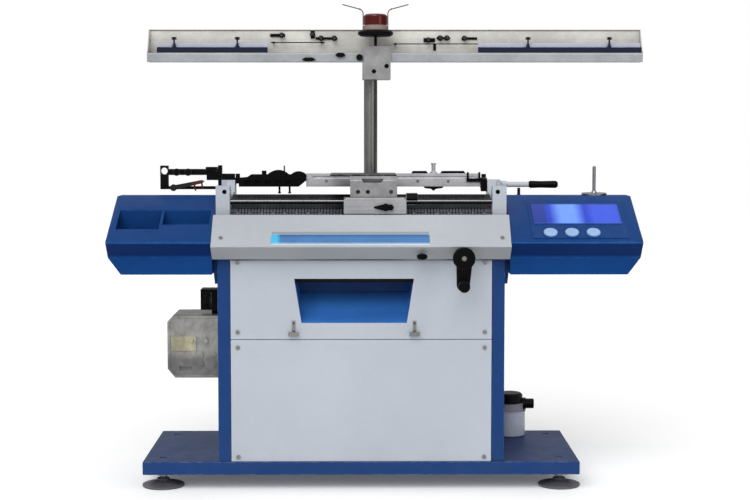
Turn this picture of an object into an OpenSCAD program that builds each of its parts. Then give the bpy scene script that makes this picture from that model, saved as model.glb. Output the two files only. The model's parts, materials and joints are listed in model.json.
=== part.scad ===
// Glove knitting machine: a knitting head with two needle beds on a sheet metal cabinet,
// a console at each side, and a yarn beam with a lamp on a mast behind the head.
// Lengths are in millimetres. X runs along the needle beds, Y to the back, Z up.
// The origin is on the floor, in the middle of the machine's overall outline.

/* [Base] */
// Width of the base
base_w = 1242; // [1100:1:1400]
// Depth of the base
base_d = 467; // [430:1:600]
// Height of the base's folded edge
base_h = 38; // [25:1:60]
// Sheet thickness of the base
base_wall = 6; // [3:0.5:10]
// Gap between the floor and the base
foot_h = 44; // [34:1:70]
// Diameter of a foot's pad
foot_d = 120; // [70:1:140]
// Distance from the base's ends to a foot's centre
foot_inset = 52; // [45:1:120]
// Distance from the base's front and back edges to a foot's centre
foot_inset_y = 60; // [45:1:120]
// Diameter of a foot's stud
stud_d = 20; // [12:1:30]

/* [Cabinet] */
// Width of the cabinet
cab_w = 810; // [740:1:980]
// Depth of the cabinet
cab_d = 418; // [380:1:430]
// Height of the cabinet above the base
cab_h = 578; // [470:1:690]
// Distance from the base's front edge to the cabinet's front
cab_y = 6; // [4:1:20]
// Sheet thickness of the cabinet
sheet = 3; // [1.5:0.5:4]
// Width of a side panel's front flange
flange_w = 35; // [20:1:60]
// Width of the lip that a front panel is screwed to
lip_w = 36; // [28:1:50]
// Depth of a front panel's folded edge
panel_d = 18; // [12:1:30]
// Height of the seam between the two front panels, above the base
seam_h = 349; // [300:1:370]
// Width of the seams round the front panels
seam = 1.5; // [0.5:0.5:4]
// Head diameter of a panel screw
screw_d = 12; // [6:0.5:16]
// Distance from a panel's side edge to its screws
screw_inset = 20; // [12:1:26]
// Thickness of the table that carries the needle beds
table_t = 36; // [20:1:50]
// Distance from the table's top down from the cabinet's top
table_drop = 36; // [30:1:60]
// Number of vent slots in each row of the back panel
vent_count = 9; // [4:1:14]

/* [Glove chute] */
// Width of the chute's mouth at its top edge
mouth_top_w = 337; // [260:1:400]
// Width of the chute's mouth at its bottom edge
mouth_low_w = 297; // [220:1:360]
// Height of the chute's mouth
mouth_h = 125; // [90:1:150]
// Height of the mouth's bottom edge above the seam
mouth_rise = 47; // [30:1:60]
// Distance from the cabinet's middle to the mouth's middle
mouth_x = -20; // [-60:1:60]
// Depth of the chute
chute_d = 160; // [120:1:220]
// Rise of the chute's floor from front to back
chute_rise = 74; // [40:1:90]
// Distance from the seam up to the bag hooks
hook_rise = 12; // [6:1:18]

/* [Casing] */
// Distance that the casing stands out over each side of the cabinet
casing_over = 12; // [6:1:20]
// Distance from the cabinet's front out to the casing's lip
casing_out = 76; // [50:1:100]
// Rise of the bevel below the casing's lip
bevel_rise = 39; // [25:1:60]
// Depth of the bevel below the casing's lip
bevel_in = 50; // [20:1:60]
// Rise of the casing's sloping face
face_rise = 84; // [60:1:110]
// Depth of the casing's sloping face
face_d = 90; // [60:1:95]
// Length of the blue strip on the casing
strip_w = 440; // [300:1:600]
// Height of the blue strip, measured up the slope
strip_h = 33; // [20:1:45]
// Distance from the cabinet's middle to the strip's middle
strip_x = -30; // [-80:1:80]

/* [Consoles] */
// Width of the left console
left_console_w = 291; // [240:1:360]
// Width of the right console
right_console_w = 366; // [340:1:440]
// Distance from the console's lip out from the cabinet's front
console_out = 66; // [40:1:90]
// Height of the console's lip above the cabinet's top
console_lip_rise = 53; // [40:1:70]
// Rise of the console's sloping top
slope_rise = 116; // [90:1:140]
// Depth of the console's sloping top
slope_d = 230; // [200:1:270]
// Depth of the flat strip behind the slope
ridge_d = 82; // [70:1:100]
// Distance from the cabinet's top down to the console's underside
console_drop = 43; // [30:1:60]
// Height of the bevel below the console's lip
console_bevel = 48; // [30:1:50]
// Width of the chamfer at a console's outer end
end_chamfer = 36; // [15:1:50]

/* [Display and buttons] */
// Width of the screen
screen_w = 248; // [180:1:260]
// Height of the screen, measured up the slope
screen_h = 108; // [80:1:115]
// Distance from the lip to the screen's lower edge, measured up the slope
screen_up = 95; // [90:1:110]
// Diameter of a push button
button_d = 39; // [26:1:44]
// Height of a push button above its panel
button_h = 7; // [4:0.5:12]
// Distance between the buttons
button_step = 60; // [50:1:70]
// Distance from the lip to the buttons' middle, measured up the slope
button_up = 43; // [38:1:48]
// Travel of a push button
button_travel = 1.5; // [1:0.5:3]

/* [Needle beds] */
// Angle of each needle bed
bed_angle = 40; // [30:1:45]
// Width of a needle bed, measured down its slope
bed_slope = 110; // [90:1:118]
// Thickness of a needle bed
bed_t = 26; // [16:1:32]
// Gap between the two beds at the top
bed_gap = 8; // [5:0.5:12]
// Height of the beds' top edge above the casing
bed_rise = 52; // [45:1:60]
// Distance from the cabinet's front to the middle of the beds
bed_y = 140; // [135:1:160]
// Distance between needles
needle_step = 9; // [8:0.5:14]
// Thickness of a needle
needle_t = 2; // [1:0.1:3]
// Thickness of an end bracket
bracket_t = 40; // [24:1:44]
// Diameter of the guide rods that the carriage slides on
rod_d = 14; // [10:1:16]
// Distance from the beds' middle to each guide rod
rod_out = 84; // [80:1:92]
// Height of the guide rods above the casing
rod_rise = 35; // [30:1:42]

/* [Carriage] */
// Width of the carriage
carriage_w = 177; // [140:1:220]
// Distance from the cabinet's middle to the carriage's middle
carriage_x = 39.5; // [0:0.5:60]
// Width of the bridge over the beds
bridge_w = 133; // [100:1:140]
// Height of the bridge's top above the beds
bridge_rise = 55; // [50:1:70]
// Thickness of the bridge
bridge_t = 12; // [8:1:16]
// Radial clearance of a part that slides or turns on another
running = 0.05; // [0.02:0.01:0.1]
// Clearance between parts that move past each other
clear = 0.5; // [0.3:0.1:1]

/* [Drive and crank] */
// Distance from the cabinet's middle to the crank
crank_x = 284; // [260:1:300]
// Height of the crank's axis above the cabinet's top
crank_rise = 8; // [6:1:14]
// Diameter of the belt pulleys
pulley_d = 60; // [50:1:64]
// Width of the belt
belt_w = 14; // [10:1:16]
// Thickness of the belt
belt_t = 3; // [2:0.5:4]
// Diameter of the crank's shaft
shaft_d = 16; // [12:1:20]
// Diameter of the crank's hub
hub_d = 62; // [44:1:66]
// Distance from the crank's axis to its grip's axis
crank_throw = 74; // [60:1:90]
// Length of the crank's grip
grip_l = 52; // [40:1:70]
// Diameter of the crank's grip
grip_d = 32; // [22:1:36]
// Width of the motor
motor_w = 80; // [60:1:84]
// Length of the motor
motor_l = 150; // [100:1:180]

/* [Top rail] */
// Height of the top rail
rail_h = 39; // [26:1:46]
// Depth of the top rail
rail_d = 24; // [16:1:30]
// Distance from the beds' middle back to the top rail
rail_y = 122; // [116:1:140]
// Length of the yarn change unit
unit_l = 209; // [160:1:230]
// Diameter of the handle at the rail's right end
handle_d = 22; // [16:1:26]
// Length of the handle
handle_l = 85; // [60:1:110]

/* [Mast and beam] */
// Diameter of the mast
mast_d = 40; // [30:1:50]
// Distance from the cabinet's middle to the mast
mast_x = 28; // [0:1:60]
// Distance from the cabinet's front to the mast
mast_y = 330; // [325:1:350]
// Height of the beam's underside above the cabinet's top
beam_rise = 560; // [450:1:750]
// Length of the yarn beam
beam_l = 1460; // [1300:1:1700]
// Distance from the cabinet's middle to the beam's middle
beam_x = 100; // [80:1:120]
// Height of the yarn beam
beam_h = 97; // [85:1:110]
// Depth of the yarn beam
beam_d = 54; // [44:1:70]
// Sheet thickness of the yarn beam
beam_wall = 3; // [2:0.5:4]
// Height of the yarn beam's front lip
beam_lip = 27; // [20:1:36]
// Width of the clamp that joins the beam to the mast
clamp_w = 79; // [60:1:90]
// Height of the clamp below the beam
clamp_h = 51; // [40:1:70]

/* [Lamp] */
// Diameter of the lamp's lens
lens_d = 69; // [50:1:76]
// Height of the lens
lens_h = 31; // [24:1:60]
// Diameter of the lamp's flange
flange_d = 103; // [84:1:110]
// Diameter of a stop wire
wire_d = 3; // [2:0.5:4]

/* [Side units] */
// Width of the control box on the left side
box_w = 154; // [120:1:170]
// Height of the control box
box_h = 180; // [140:1:200]
// Depth of the control box
box_d = 150; // [110:1:180]
// Diameter of the vacuum can
can_d = 96; // [70:1:110]
// Height of the vacuum can's body
can_h = 77; // [60:1:100]

/* [Hidden] */
// Gap between faces that lie against each other
seat = 0.2;
$fn = 48;

// Outline of the whole machine on the floor
cab_half = cab_w / 2;
casing_half = cab_half + casing_over;
console_start = casing_half + clear;
left_end = -console_start - left_console_w;
beam_left = beam_x - beam_l / 2;
beam_right = beam_x + beam_l / 2;
right_end = max(beam_right, console_start + right_console_w);
mid_x = (min(left_end, beam_left) + right_end) / 2;

// Heights
floor_z = foot_h + base_h;
cab_top = floor_z + cab_h;
table_z = cab_top - table_drop;
seam_z = floor_z + seam_h;
mouth_z = seam_z + mouth_rise;
lip_z = cab_top + bevel_rise;
casing_top = lip_z + face_rise;
console_lip_z = cab_top + console_lip_rise;
ridge_z = console_lip_z + slope_rise;
console_z = cab_top - console_drop;
bed_z = casing_top + bed_rise;
rod_z = casing_top + rod_rise;
crank_z = cab_top + crank_rise;
rail_z = bed_z + 18;
beam_z = cab_top + beam_rise;

// Depths, measured from the base's front edge
lip_y = cab_y - casing_out;
face_top_y = lip_y + face_d;
console_lip_y = cab_y - console_out;
ridge_y = console_lip_y + slope_d;
beds_y = cab_y + bed_y;
front_rod_y = beds_y - rod_out;
rear_rod_y = beds_y + rod_out;
rail_mid_y = beds_y + rail_y;
mast_mid_y = cab_y + mast_y;
beam_back = mast_mid_y - mast_d / 2 - 5;
beam_front = beam_back - beam_d;
slope_a = atan(slope_rise / slope_d);
face_a = atan(face_rise / face_d);

// Crank and belt
arm_t = 14;
arm_back = lip_y - 8;
arm_front = arm_back - arm_t;
grip_front = arm_front - clear - grip_l;
belt_y = face_top_y + sheet + 7;
pulley_r = pulley_d / 2;
idler_x = -cab_half + 75;
back_end = base_d + max(0, foot_d / 2 - foot_inset_y);
mid_y = (grip_front - 3 + back_end) / 2;

// Screws, brackets and the parts that share their places
panel_half = cab_half - flange_w - seam;
screw_x = panel_half - screw_inset;
bed_half = cab_half - bracket_t + 7;
bracket_top = bed_z + 28;
groove_t = needle_t + 0.4;
needle_count = floor((2 * bed_half - 30) / needle_step);
saddle_d = 32;
saddle_h = 26;
cover_t = 15;

module on_frame() translate([-mid_x, -mid_y, 0]) children();

// Extrudes an outline drawn in Y and Z along X
module along_x(x, length) translate([x, 0, 0]) rotate([90, 0, 90]) linear_extrude(length) children();

// Extrudes an outline drawn in X and Z along Y
module along_y(y, length) translate([0, y + length, 0]) rotate([90, 0, 0]) linear_extrude(length)
    children();

module rod_x(x, y, z, length, d) translate([x, y, z]) rotate([0, 90, 0]) cylinder(h = length, d = d);

module rod_y(x, y, z, length, d) translate([x, y + length, z]) rotate([90, 0, 0])
    cylinder(h = length, d = d);

module block(x, y, z) translate([x[0], y[0], z[0]]) cube([x[1] - x[0], y[1] - y[0], z[1] - z[0]]);

// Mirrors its children to both sides of the plane at x
module both_sides(x = 0) {
    children();
    translate([2 * x, 0, 0]) mirror([1, 0, 0]) children();
}

// Point of a path moved sideways to its left by t, with the corners mitred
function unit(v) = v / norm(v);
function left_of(v) = [-v[1], v[0]];
function moved(p, i, t) =
    let (n = len(p) - 1)
    let (a = unit(left_of(p[min(i, n - 1) + 1] - p[min(i, n - 1)])))
    let (b = unit(left_of(p[max(i, 1)] - p[max(i, 1) - 1])))
    p[i] + (a + b) * t / (1 + a * b);
function folded(p, t) = concat(p, [for (i = [len(p) - 1:-1:0]) moved(p, i, t)]);

// Closed outline moved inwards by t; its points run anticlockwise
function inset(p, t) =
    let (n = len(p))
    [for (i = [0:n - 1])
        let (a = unit(left_of(p[(i + 1) % n] - p[i])))
        let (b = unit(left_of(p[i] - p[(i + n - 1) % n])))
        p[i] + (a + b) * t / (1 + a * b)];

// ---------------------------------------------------------------- base

module foot_places() {
    for (x = [-1, 1], y = [foot_inset_y, base_d - foot_inset_y])
        translate([x * (base_w / 2 - foot_inset), y, 0]) children();
}

module base_plate() color([0.14, 0.25, 0.55]) on_frame() {
    half = base_w / 2;
    inner = half - base_wall;
    difference() {
        block([-half, half], [0, base_d], [foot_h, floor_z]);
        difference() {
            block([-inner, inner], [base_wall, base_d - base_wall], [foot_h - 1, floor_z - base_wall]);
            foot_places() cylinder(h = floor_z, d = stud_d + 30);
            for (x = [-cab_half, 0, cab_half])
                block([x - base_wall, x + base_wall], [0, base_d], [foot_h, floor_z]);
        }
        foot_places() cylinder(h = floor_z + 1, d = stud_d + 2 * running);
    }
}

module levelling_feet() color([0.2, 0.17, 0.17]) on_frame() foot_places() {
    rim = 9;
    rotate_extrude() polygon([
        [0, 0], [foot_d / 2 - 3, 0], [foot_d / 2, 3], [foot_d / 2, rim - 2], [foot_d / 2 - 4, rim],
        [stud_d / 2 + 12, rim + 9], [stud_d / 2 + 8, rim + 12], [stud_d / 2 + 8, rim + 15],
        [stud_d / 2, rim + 15], [stud_d / 2, floor_z - base_wall], [stud_d / 2 - 2, floor_z - 2],
        [0, floor_z - 2]]);
}

module foot_nuts() color([0.6, 0.6, 0.62]) on_frame() foot_places() {
    translate([0, 0, foot_h - 12]) difference() {
        cylinder(h = 12, d = stud_d * 1.75, $fn = 6);
        translate([0, 0, -1]) cylinder(h = 14, d = stud_d + 2 * running);
    }
}

// ---------------------------------------------------------------- cabinet

function side_outline() = folded([
    [-panel_half - seam + lip_w, cab_y + panel_d + seat],
    [-panel_half - seam, cab_y + panel_d + seat],
    [-panel_half - seam, cab_y],
    [-cab_half, cab_y],
    [-cab_half, cab_y + cab_d],
    [-cab_half + 30, cab_y + cab_d]], -sheet);

module side_panels() color([0.14, 0.27, 0.51]) on_frame() both_sides() {
    ledge = 26;
    difference() {
        union() {
            translate([0, 0, floor_z]) linear_extrude(cab_h) polygon(side_outline());
            block([-cab_half + 1, -cab_half + ledge], [cab_y + 40, cab_y + cab_d - 4],
                [table_z - table_t - sheet, table_z - table_t]);
        }
        for (z = screw_heights())
            rod_y(-screw_x, cab_y, z, 40, 5);
    }
}

function screw_heights() = [floor_z + 13, seam_z - 23, seam_z + 21, cab_top - 11];

module back_panel() color([0.14, 0.27, 0.51]) on_frame() {
    y = cab_y + cab_d - 2 * sheet - 0.3;
    slot_l = 60;
    step = (cab_w - 200) / (vent_count - 1);
    difference() {
        block([-cab_half + sheet + 1, cab_half - sheet - 1], [y, y + sheet],
            [floor_z, table_z - table_t - 6]);
        for (row = [0, 1], i = [0:vent_count - 1])
            translate([-(cab_w - 200) / 2 + i * step - slot_l / 2 + 5, 0, floor_z + 90 + row * 36]) {
                block([0, slot_l - 14], [y - 1, y + sheet + 1], [0, 8]);
                rod_y(0, y - 1, 4, sheet + 2, 8);
                rod_y(slot_l - 14, y - 1, 4, sheet + 2, 8);
            }
    }
}

module bed_table() color([0.45, 0.46, 0.48]) on_frame() {
    half = cab_half - sheet - 0.5;
    low = table_z - table_t;
    rib = 14;
    difference() {
        block([-half, half], [cab_y + 44, cab_y + cab_d - 12], [low, table_z]);
        duct_space(8);
        for (x = [-half + rib, rib + 150], y = [cab_y + 44 + rib, cab_y + 230])
            block([x, x + half - 3 * rib - 150], [y, y + 130], [low - 1, table_z - rib]);
    }
    idler_bracket();
}

// Lug on the table's edge, with the idler pulley's axle
module idler_bracket() {
    y = belt_y + belt_w + 6;
    block([idler_x - 25, idler_x + 25], [y, y + 12], [table_z - 1, crank_z + 20]);
    rod_y(idler_x, belt_y - 2, crank_z, belt_w + 9, 12);
}

module duct_space(grow) {
    block([mouth_x - mouth_low_w / 2 + 10 - grow, mouth_x + mouth_low_w / 2 - 10 + grow],
        [beds_y - 22 - grow, beds_y + 22 + grow], [0, 2000]);
}

// Outline of the chute's mouth, grown outwards by g
function mouth_outline(g = 0) = [
    [mouth_x - mouth_low_w / 2 - g, mouth_z - g], [mouth_x + mouth_low_w / 2 + g, mouth_z - g],
    [mouth_x + mouth_top_w / 2 + g, mouth_z + mouth_h + g],
    [mouth_x - mouth_top_w / 2 - g, mouth_z + mouth_h + g]];

module front_panel(low, high) {
    front = cab_y - 2;
    back = cab_y + panel_d;
    difference() {
        block([-panel_half, panel_half], [front, back], [low, high]);
        block([-panel_half + sheet, panel_half - sheet], [front + sheet, back + 1],
            [low + sheet, high - sheet]);
        for (x = [-screw_x, screw_x], z = screw_heights())
            rod_y(x, front - 1, z, sheet + 2, 5);
    }
}

module upper_front_panel() color([0.76, 0.79, 0.83]) on_frame() difference() {
    front_panel(seam_z + seam / 2, cab_top - seam - 3);
    along_y(cab_y - 3, sheet + 2) polygon(mouth_outline());
    for (x = hook_places())
        rod_y(x, cab_y - 3, seam_z + hook_rise + 34, sheet + 3, 5);
}

module lower_front_panel() color([0.76, 0.79, 0.83]) on_frame()
    front_panel(floor_z, seam_z - seam / 2);

// A domed head in front of the face at y, with its shank behind
module screw(x, y, z, head = screw_d, length = 22) translate([x, y, z]) rotate([90, 0, 0]) {
    difference() {
        cylinder(h = 3, d = head);
        translate([0, 0, 1.5]) cylinder(h = 2, d = head * 0.4, $fn = 6);
    }
    translate([0, 0, -length]) cylinder(h = length, d = 4.9);
}

module panel_screws() color([0.3, 0.3, 0.32]) on_frame() {
    for (x = [-screw_x, screw_x], z = screw_heights())
        screw(x, cab_y - 2, z);
    for (x = [-casing_half + 27, casing_half - 24])
        translate([x, 0, 0]) on_face(0.27) rotate([-90, 0, 0]) screw(0, 0, 0, 11, 8);
}

// Places its children on the casing's sloping face, at a share of the way up it, with +Z out of the face
module on_face(share) translate([0, lip_y + face_d * share, lip_z + face_rise * share])
    rotate([face_a, 0, 0]) children();

// ---------------------------------------------------------------- glove chute

// Duct that leads a finished glove down through the table, hung on it by a flange
module glove_duct() {
    low = table_z - table_t - 2;
    high = bed_z - 57;
    difference() {
        union() {
            intersection() {
                duct_space(0);
                block([-cab_half, cab_half], [0, base_d], [low, high]);
            }
            intersection() {
                duct_space(18);
                block([-cab_half, cab_half], [0, base_d], [table_z + 0.2, table_z + 0.2 + sheet]);
            }
        }
        intersection() {
            duct_space(-sheet);
            block([-cab_half, cab_half], [0, base_d], [low - 1, high + 1]);
        }
    }
}

module glove_chute() color([0.16, 0.34, 0.62]) on_frame() {
    glove_duct();
    front = cab_y + sheet - 2 + 0.3;
    back = front + chute_d;
    top = table_z - table_t - 4;
    share = (top - mouth_z) / mouth_h;
    wide = mouth_low_w / 2 + (mouth_top_w - mouth_low_w) / 2 * share;
    difference() {
        union() {
            along_y(front, sheet) polygon(mouth_outline(16));
            intersection() {
                along_y(front, chute_d) polygon([
                    [mouth_x - mouth_low_w / 2 - sheet, mouth_z - sheet],
                    [mouth_x + mouth_low_w / 2 + sheet, mouth_z - sheet],
                    [mouth_x + wide + sheet, top], [mouth_x - wide - sheet, top]]);
                along_x(mouth_x - mouth_top_w, 2 * mouth_top_w) polygon([
                    [front, mouth_z - sheet], [back, mouth_z + chute_rise - sheet],
                    [back, top], [front, top]]);
            }
        }
        intersection() {
            along_y(front - 1, chute_d + 2) polygon(mouth_outline());
            along_x(mouth_x - mouth_top_w, 2 * mouth_top_w) polygon([
                [front - 1, mouth_z], [front, mouth_z], [back - sheet, mouth_z + chute_rise - sheet / 2],
                [back - sheet, mouth_z + mouth_h + 1], [front - 1, mouth_z + mouth_h + 1]]);
        }
    }
}

function hook_places() = [mouth_x - mouth_low_w / 2 - 22, mouth_x + mouth_low_w / 2 + 22];

module bag_hooks() color([0.55, 0.56, 0.58]) on_frame() {
    front = cab_y - 2;
    z = seam_z + hook_rise;
    for (x = hook_places()) {
        difference() {
            union() {
                block([x - 4.5, x + 4.5], [front - 3, front], [z, z + 41]);
                block([x - 15, x + 15], [front - 16, front], [z, z + 4]);
                block([x - 15, x + 15], [front - 16, front - 13], [z + 3, z + 11]);
            }
            rod_y(x, front - 4, z + 34, 5, 5);
        }
    }
}

// ---------------------------------------------------------------- casing

function casing_path() = [
    [lip_y + bevel_in + 30, cab_top], [lip_y + bevel_in, cab_top], [lip_y, lip_z],
    [face_top_y, casing_top], [face_top_y, casing_top - 30]];

module head_casing() color([0.75, 0.78, 0.82]) on_frame() {
    difference() {
        union() {
            along_x(-casing_half, 2 * casing_half) polygon(folded(casing_path(), -sheet));
            for (x = [-casing_half, casing_half - sheet])
                along_x(x, sheet) polygon([
                    [lip_y + bevel_in + 30, cab_top], [lip_y + bevel_in, cab_top], [lip_y, lip_z],
                    [face_top_y, casing_top], [face_top_y, cab_top]]);
        }
        rod_y(crank_x, lip_y, crank_z, 80, shaft_d + 6);
        rod_y(latch_x(), lip_y - 20, latch_z(), 80, 9);
        for (x = [-casing_half + 27, casing_half - 24])
            translate([x, 0, 0]) on_face(0.27) translate([0, 0, -8]) cylinder(h = 9, d = 5);
    }
}

function latch_x() = 169;
function latch_z() = cab_top + 11;

module casing_strip() color([0.2, 0.5, 0.75]) on_frame() {
    r = 5;
    translate([strip_x, 0, 0]) on_face(0.23) {
        for (x = [-strip_w / 2 + r, strip_w / 2 - r], y = [-strip_h / 2 + r, strip_h / 2 - r])
            translate([x, y, 0]) cylinder(h = 2, r = r);
        translate([-strip_w / 2 + r, -strip_h / 2, 0]) cube([strip_w - 2 * r, strip_h, 2]);
        translate([-strip_w / 2, -strip_h / 2 + r, 0]) cube([strip_w, strip_h - 2 * r, 2]);
    }
}

// ---------------------------------------------------------------- consoles

console_back = ridge_y + ridge_d;
console_bevel_z = console_lip_z - console_bevel;

// Console's section across the machine, anticlockwise
function console_section() = [
    [console_lip_y + 40, console_z], [console_back, console_z], [console_back, ridge_z], [ridge_y, ridge_z],
    [console_lip_y, console_lip_z], [console_lip_y, console_lip_z - 6],
    [console_lip_y + 40, console_bevel_z]];

// Console's front outline for a width w, from its inner end at x = 0, anticlockwise
function console_front(w) = [
    [0, console_z], [w - end_chamfer, console_z], [w, console_bevel_z], [w, ridge_z], [0, ridge_z]];

module console_body(w) {
    intersection() {
        along_x(0, w) polygon(console_section());
        along_y(console_lip_y, console_back - console_lip_y) polygon(console_front(w));
    }
}

module console_hollow(w) {
    intersection() {
        along_x(sheet, w - 2 * sheet) polygon(inset(console_section(), sheet));
        along_y(console_lip_y, console_back - console_lip_y) polygon(inset(console_front(w), sheet));
    }
}

// Places its children on the consoles' slope: +Y runs up the slope from the lip, +Z out of it
module on_slope() translate([0, console_lip_y, console_lip_z]) rotate([slope_a, 0, 0]) children();

// Where the tray's two pockets lie, from the console's inner end outwards
tray_front = console_lip_y + 62;
tray_back = console_lip_y + 157;
deep_z = console_lip_z + 8;
shelf_z = console_lip_z + 38;

module tray_pockets(grow) {
    w = left_console_w;
    split = w * 0.52;
    back = tray_back + grow;
    top = ridge_z + 50;
    block([split - grow, w - 20 + grow], [tray_front - grow, back], [deep_z - grow, top]);
    block([12 - grow, split - 8 + grow], [tray_front + 22 - grow, back], [shelf_z - grow, top]);
}

module left_console() color([0.14, 0.31, 0.59]) on_frame() mirror([1, 0, 0])
    translate([console_start, 0, 0])
    difference() {
        union() {
            difference() {
                console_body(left_console_w);
                console_hollow(left_console_w);
            }
            intersection() {
                console_body(left_console_w);
                tray_pockets(sheet);
            }
        }
        tray_pockets(0);
    }

buttons_x = console_start + right_console_w * 0.47;
screen_x = console_start + right_console_w * 0.53;
membrane_t = 1.6;

module button_places() for (i = [-1, 0, 1])
    translate([buttons_x + i * button_step, 0, 0]) on_slope() translate([0, button_up, 0]) children();

module right_console() color([0.14, 0.31, 0.59]) on_frame() {
    difference() {
        translate([console_start, 0, 0]) difference() {
            console_body(right_console_w);
            console_hollow(right_console_w);
        }
        button_places() translate([0, 0, -30]) cylinder(h = 60, d = button_d - 6);
        on_slope() translate([screen_x - screen_w / 2 + 8, screen_up + 8, -30])
            cube([screen_w - 16, screen_h - 16, 60]);
        translate([spindle_x, spindle_y, ridge_z - 10]) cylinder(h = 20, d = 8.4);
    }
    // post behind the ridge that the rail's handle rests over
    block([handle_rest_x - 7, handle_rest_x + 7], [console_back - 1, rail_mid_y + 7],
        [ridge_z - 14, ridge_z]);
    translate([handle_rest_x, rail_mid_y, ridge_z - 1]) cylinder(h = handle_z - ridge_z - 9, d = 9);
}

module display_panel() color([0.22, 0.36, 0.62]) on_frame() {
    low = 16;
    high = screen_up + screen_h + 8;
    difference() {
        on_slope() translate([screen_x - screen_w / 2 - 10, low, 0.2])
            cube([screen_w + 20, high - low, membrane_t]);
        button_places() translate([0, 0, -1]) cylinder(h = 5, d = button_d + 2 * clear);
        on_slope() translate([screen_x - screen_w / 2 + 8, screen_up + 8, -1])
            cube([screen_w - 16, screen_h - 16, 5]);
    }
}

module lcd_screen() color([0.3, 0.4, 0.85]) on_frame() on_slope() {
    translate([screen_x - screen_w / 2, screen_up, membrane_t + 0.4]) cube([screen_w, screen_h, 2.4]);
    translate([screen_x - screen_w / 2 + 8.5, screen_up + 8.5, -4.5])
        cube([screen_w - 17, screen_h - 17, membrane_t + 5]);
}

// A push button: a domed cap that slides in its panel, with a stem and a stop inside
module push_button() {
    cap_r = button_d / 2;
    stem_r = button_d / 2 - 3.2;
    floor_h = seat + button_travel;
    stop_z = -sheet - clear;
    rotate_extrude() polygon([
        [0, -14], [stem_r - 4, -14], [stem_r + 2, stop_z - 3], [stem_r + 2, stop_z], [stem_r - 0.4, stop_z],
        [stem_r - 0.4, floor_h], [cap_r, floor_h], [cap_r, button_h + floor_h - 3.5],
        [cap_r - 1.6, button_h + floor_h - 1.2],
        [cap_r - 5, button_h + floor_h - 0.4], [0, button_h + floor_h]]);
}

module button_at(i) on_frame() translate([buttons_x + i * button_step, 0, 0]) on_slope()
    translate([0, button_up, 0]) push_button();

module start_button() color([0.75, 0.84, 0.93]) button_at(-1);

module stop_button() color([0.75, 0.84, 0.93]) button_at(0);

module reset_button() color([0.75, 0.84, 0.93]) button_at(1);

spindle_x = console_start + right_console_w * 0.726;
spindle_y = ridge_y + ridge_d / 2 + 2;
spindle_h = 86;
handle_rest_x = console_start + 50;

module yarn_spindle() color([0.6, 0.6, 0.62]) on_frame() translate([spindle_x, spindle_y, ridge_z])
    rotate_extrude() polygon([[0, -9], [4, -9], [4, 0], [37, 0], [37, 6], [34, 8], [8, 8], [7, 12], [5, 14],
        [5, spindle_h - 3], [3, spindle_h], [0, spindle_h]]);

module console_brackets() color([0.14, 0.27, 0.51]) on_frame() both_sides()
    difference() {
        along_x(-console_start, casing_over + clear) polygon([
            [cab_y + 60, console_z - 34], [cab_y + 210, console_z - 34], [cab_y + 210, cab_top],
            [cab_y + 20, cab_top], [cab_y + 20, console_z + 4]]);
        for (y = [cab_y + 80, cab_y + 180])
            rod_x(-console_start - 1, y, cab_top - 22, casing_over + 3, 9);
    }

// ---------------------------------------------------------------- needle beds

// An end bracket: a stiffened casting that carries the beds, the rods and the top rail
function bracket_outline() = [
    [beds_y - 98, table_z], [rail_mid_y + 26, table_z], [rail_mid_y + 26, bracket_top + 10],
    [rail_mid_y - 26, bracket_top + 10], [rail_mid_y - 36, rod_z + 20], [beds_y + 30, rod_z + 20],
    [beds_y + 18, bed_z - 6], [beds_y - 18, bed_z - 6], [beds_y - 30, rod_z + 20],
    [front_rod_y + 16, bracket_top], [beds_y - 98, bracket_top]];

module end_bracket() {
    x = bed_half;
    difference() {
        union() {
            along_x(x, bracket_t - 14) polygon(bracket_outline());
            block([x, x + bracket_t], [beds_y - 98, front_rod_y + 16], [rod_z - 40, bracket_top]);
            block([x, x + bracket_t], [rail_mid_y - 26, rail_mid_y + 26], [rod_z - 20, bracket_top + 10]);
        }
        for (y = [front_rod_y, rear_rod_y])
            rod_x(x - 1, y, rod_z, bracket_t - 16, rod_d + 2 * running);
        along_x(x - 1, bracket_t + 2) polygon([
            [beds_y - 54, table_z + 26], [beds_y + 54, table_z + 26], [beds_y, bed_z - 70]]);
        rod_y(x + 15, beds_y - 99, bracket_top - 17, 9, 13);
        rod_y(x + 15, beds_y - 99, bracket_top - 17, 25, 7);
    }
}

module end_brackets() color([0.82, 0.83, 0.84]) on_frame() {
    difference() {
        end_bracket();
        rod_x(bed_half + 4, rail_mid_y, handle_z, bracket_t, 12 + 2 * running);
    }
    mirror([1, 0, 0]) difference() {
        end_bracket();
        block([bed_half - 1, bed_half + bracket_t + 1], [rail_mid_y - 10, rail_mid_y + 10],
            [rail_z + 8, rail_z + rail_h + 20]);
    }
}

// Places its children on a bed: +Y runs down the slope from the top edge, +Z out of the bed
module on_bed(side) translate([0, beds_y + side * bed_gap / 2, bed_z]) mirror([0, side < 0 ? 1 : 0, 0])
    rotate([-bed_angle, 0, 0]) children();

module needle_bed(side) on_bed(side) difference() {
    along_x(-bed_half, 2 * bed_half) polygon([
        [0, 0], [bed_t * tan(bed_angle), -bed_t], [bed_slope, -bed_t], [bed_slope, -4],
        [bed_slope - 4, 0]]);
    for (i = [0:needle_count - 1])
        translate([needle_place(i) - groove_t / 2, -1, -5]) cube([groove_t, bed_slope - 16, 7]);
    translate([-bed_half - 1, bed_slope - 34, -1.5]) cube([2 * bed_half + 2, 10, 2]);
}

function needle_place(i) = (i - (needle_count - 1) / 2) * needle_step;

module front_needle_bed() color([0.35, 0.36, 0.38]) on_frame() needle_bed(-1);

module rear_needle_bed() color([0.35, 0.36, 0.38]) on_frame() needle_bed(1);

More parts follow.
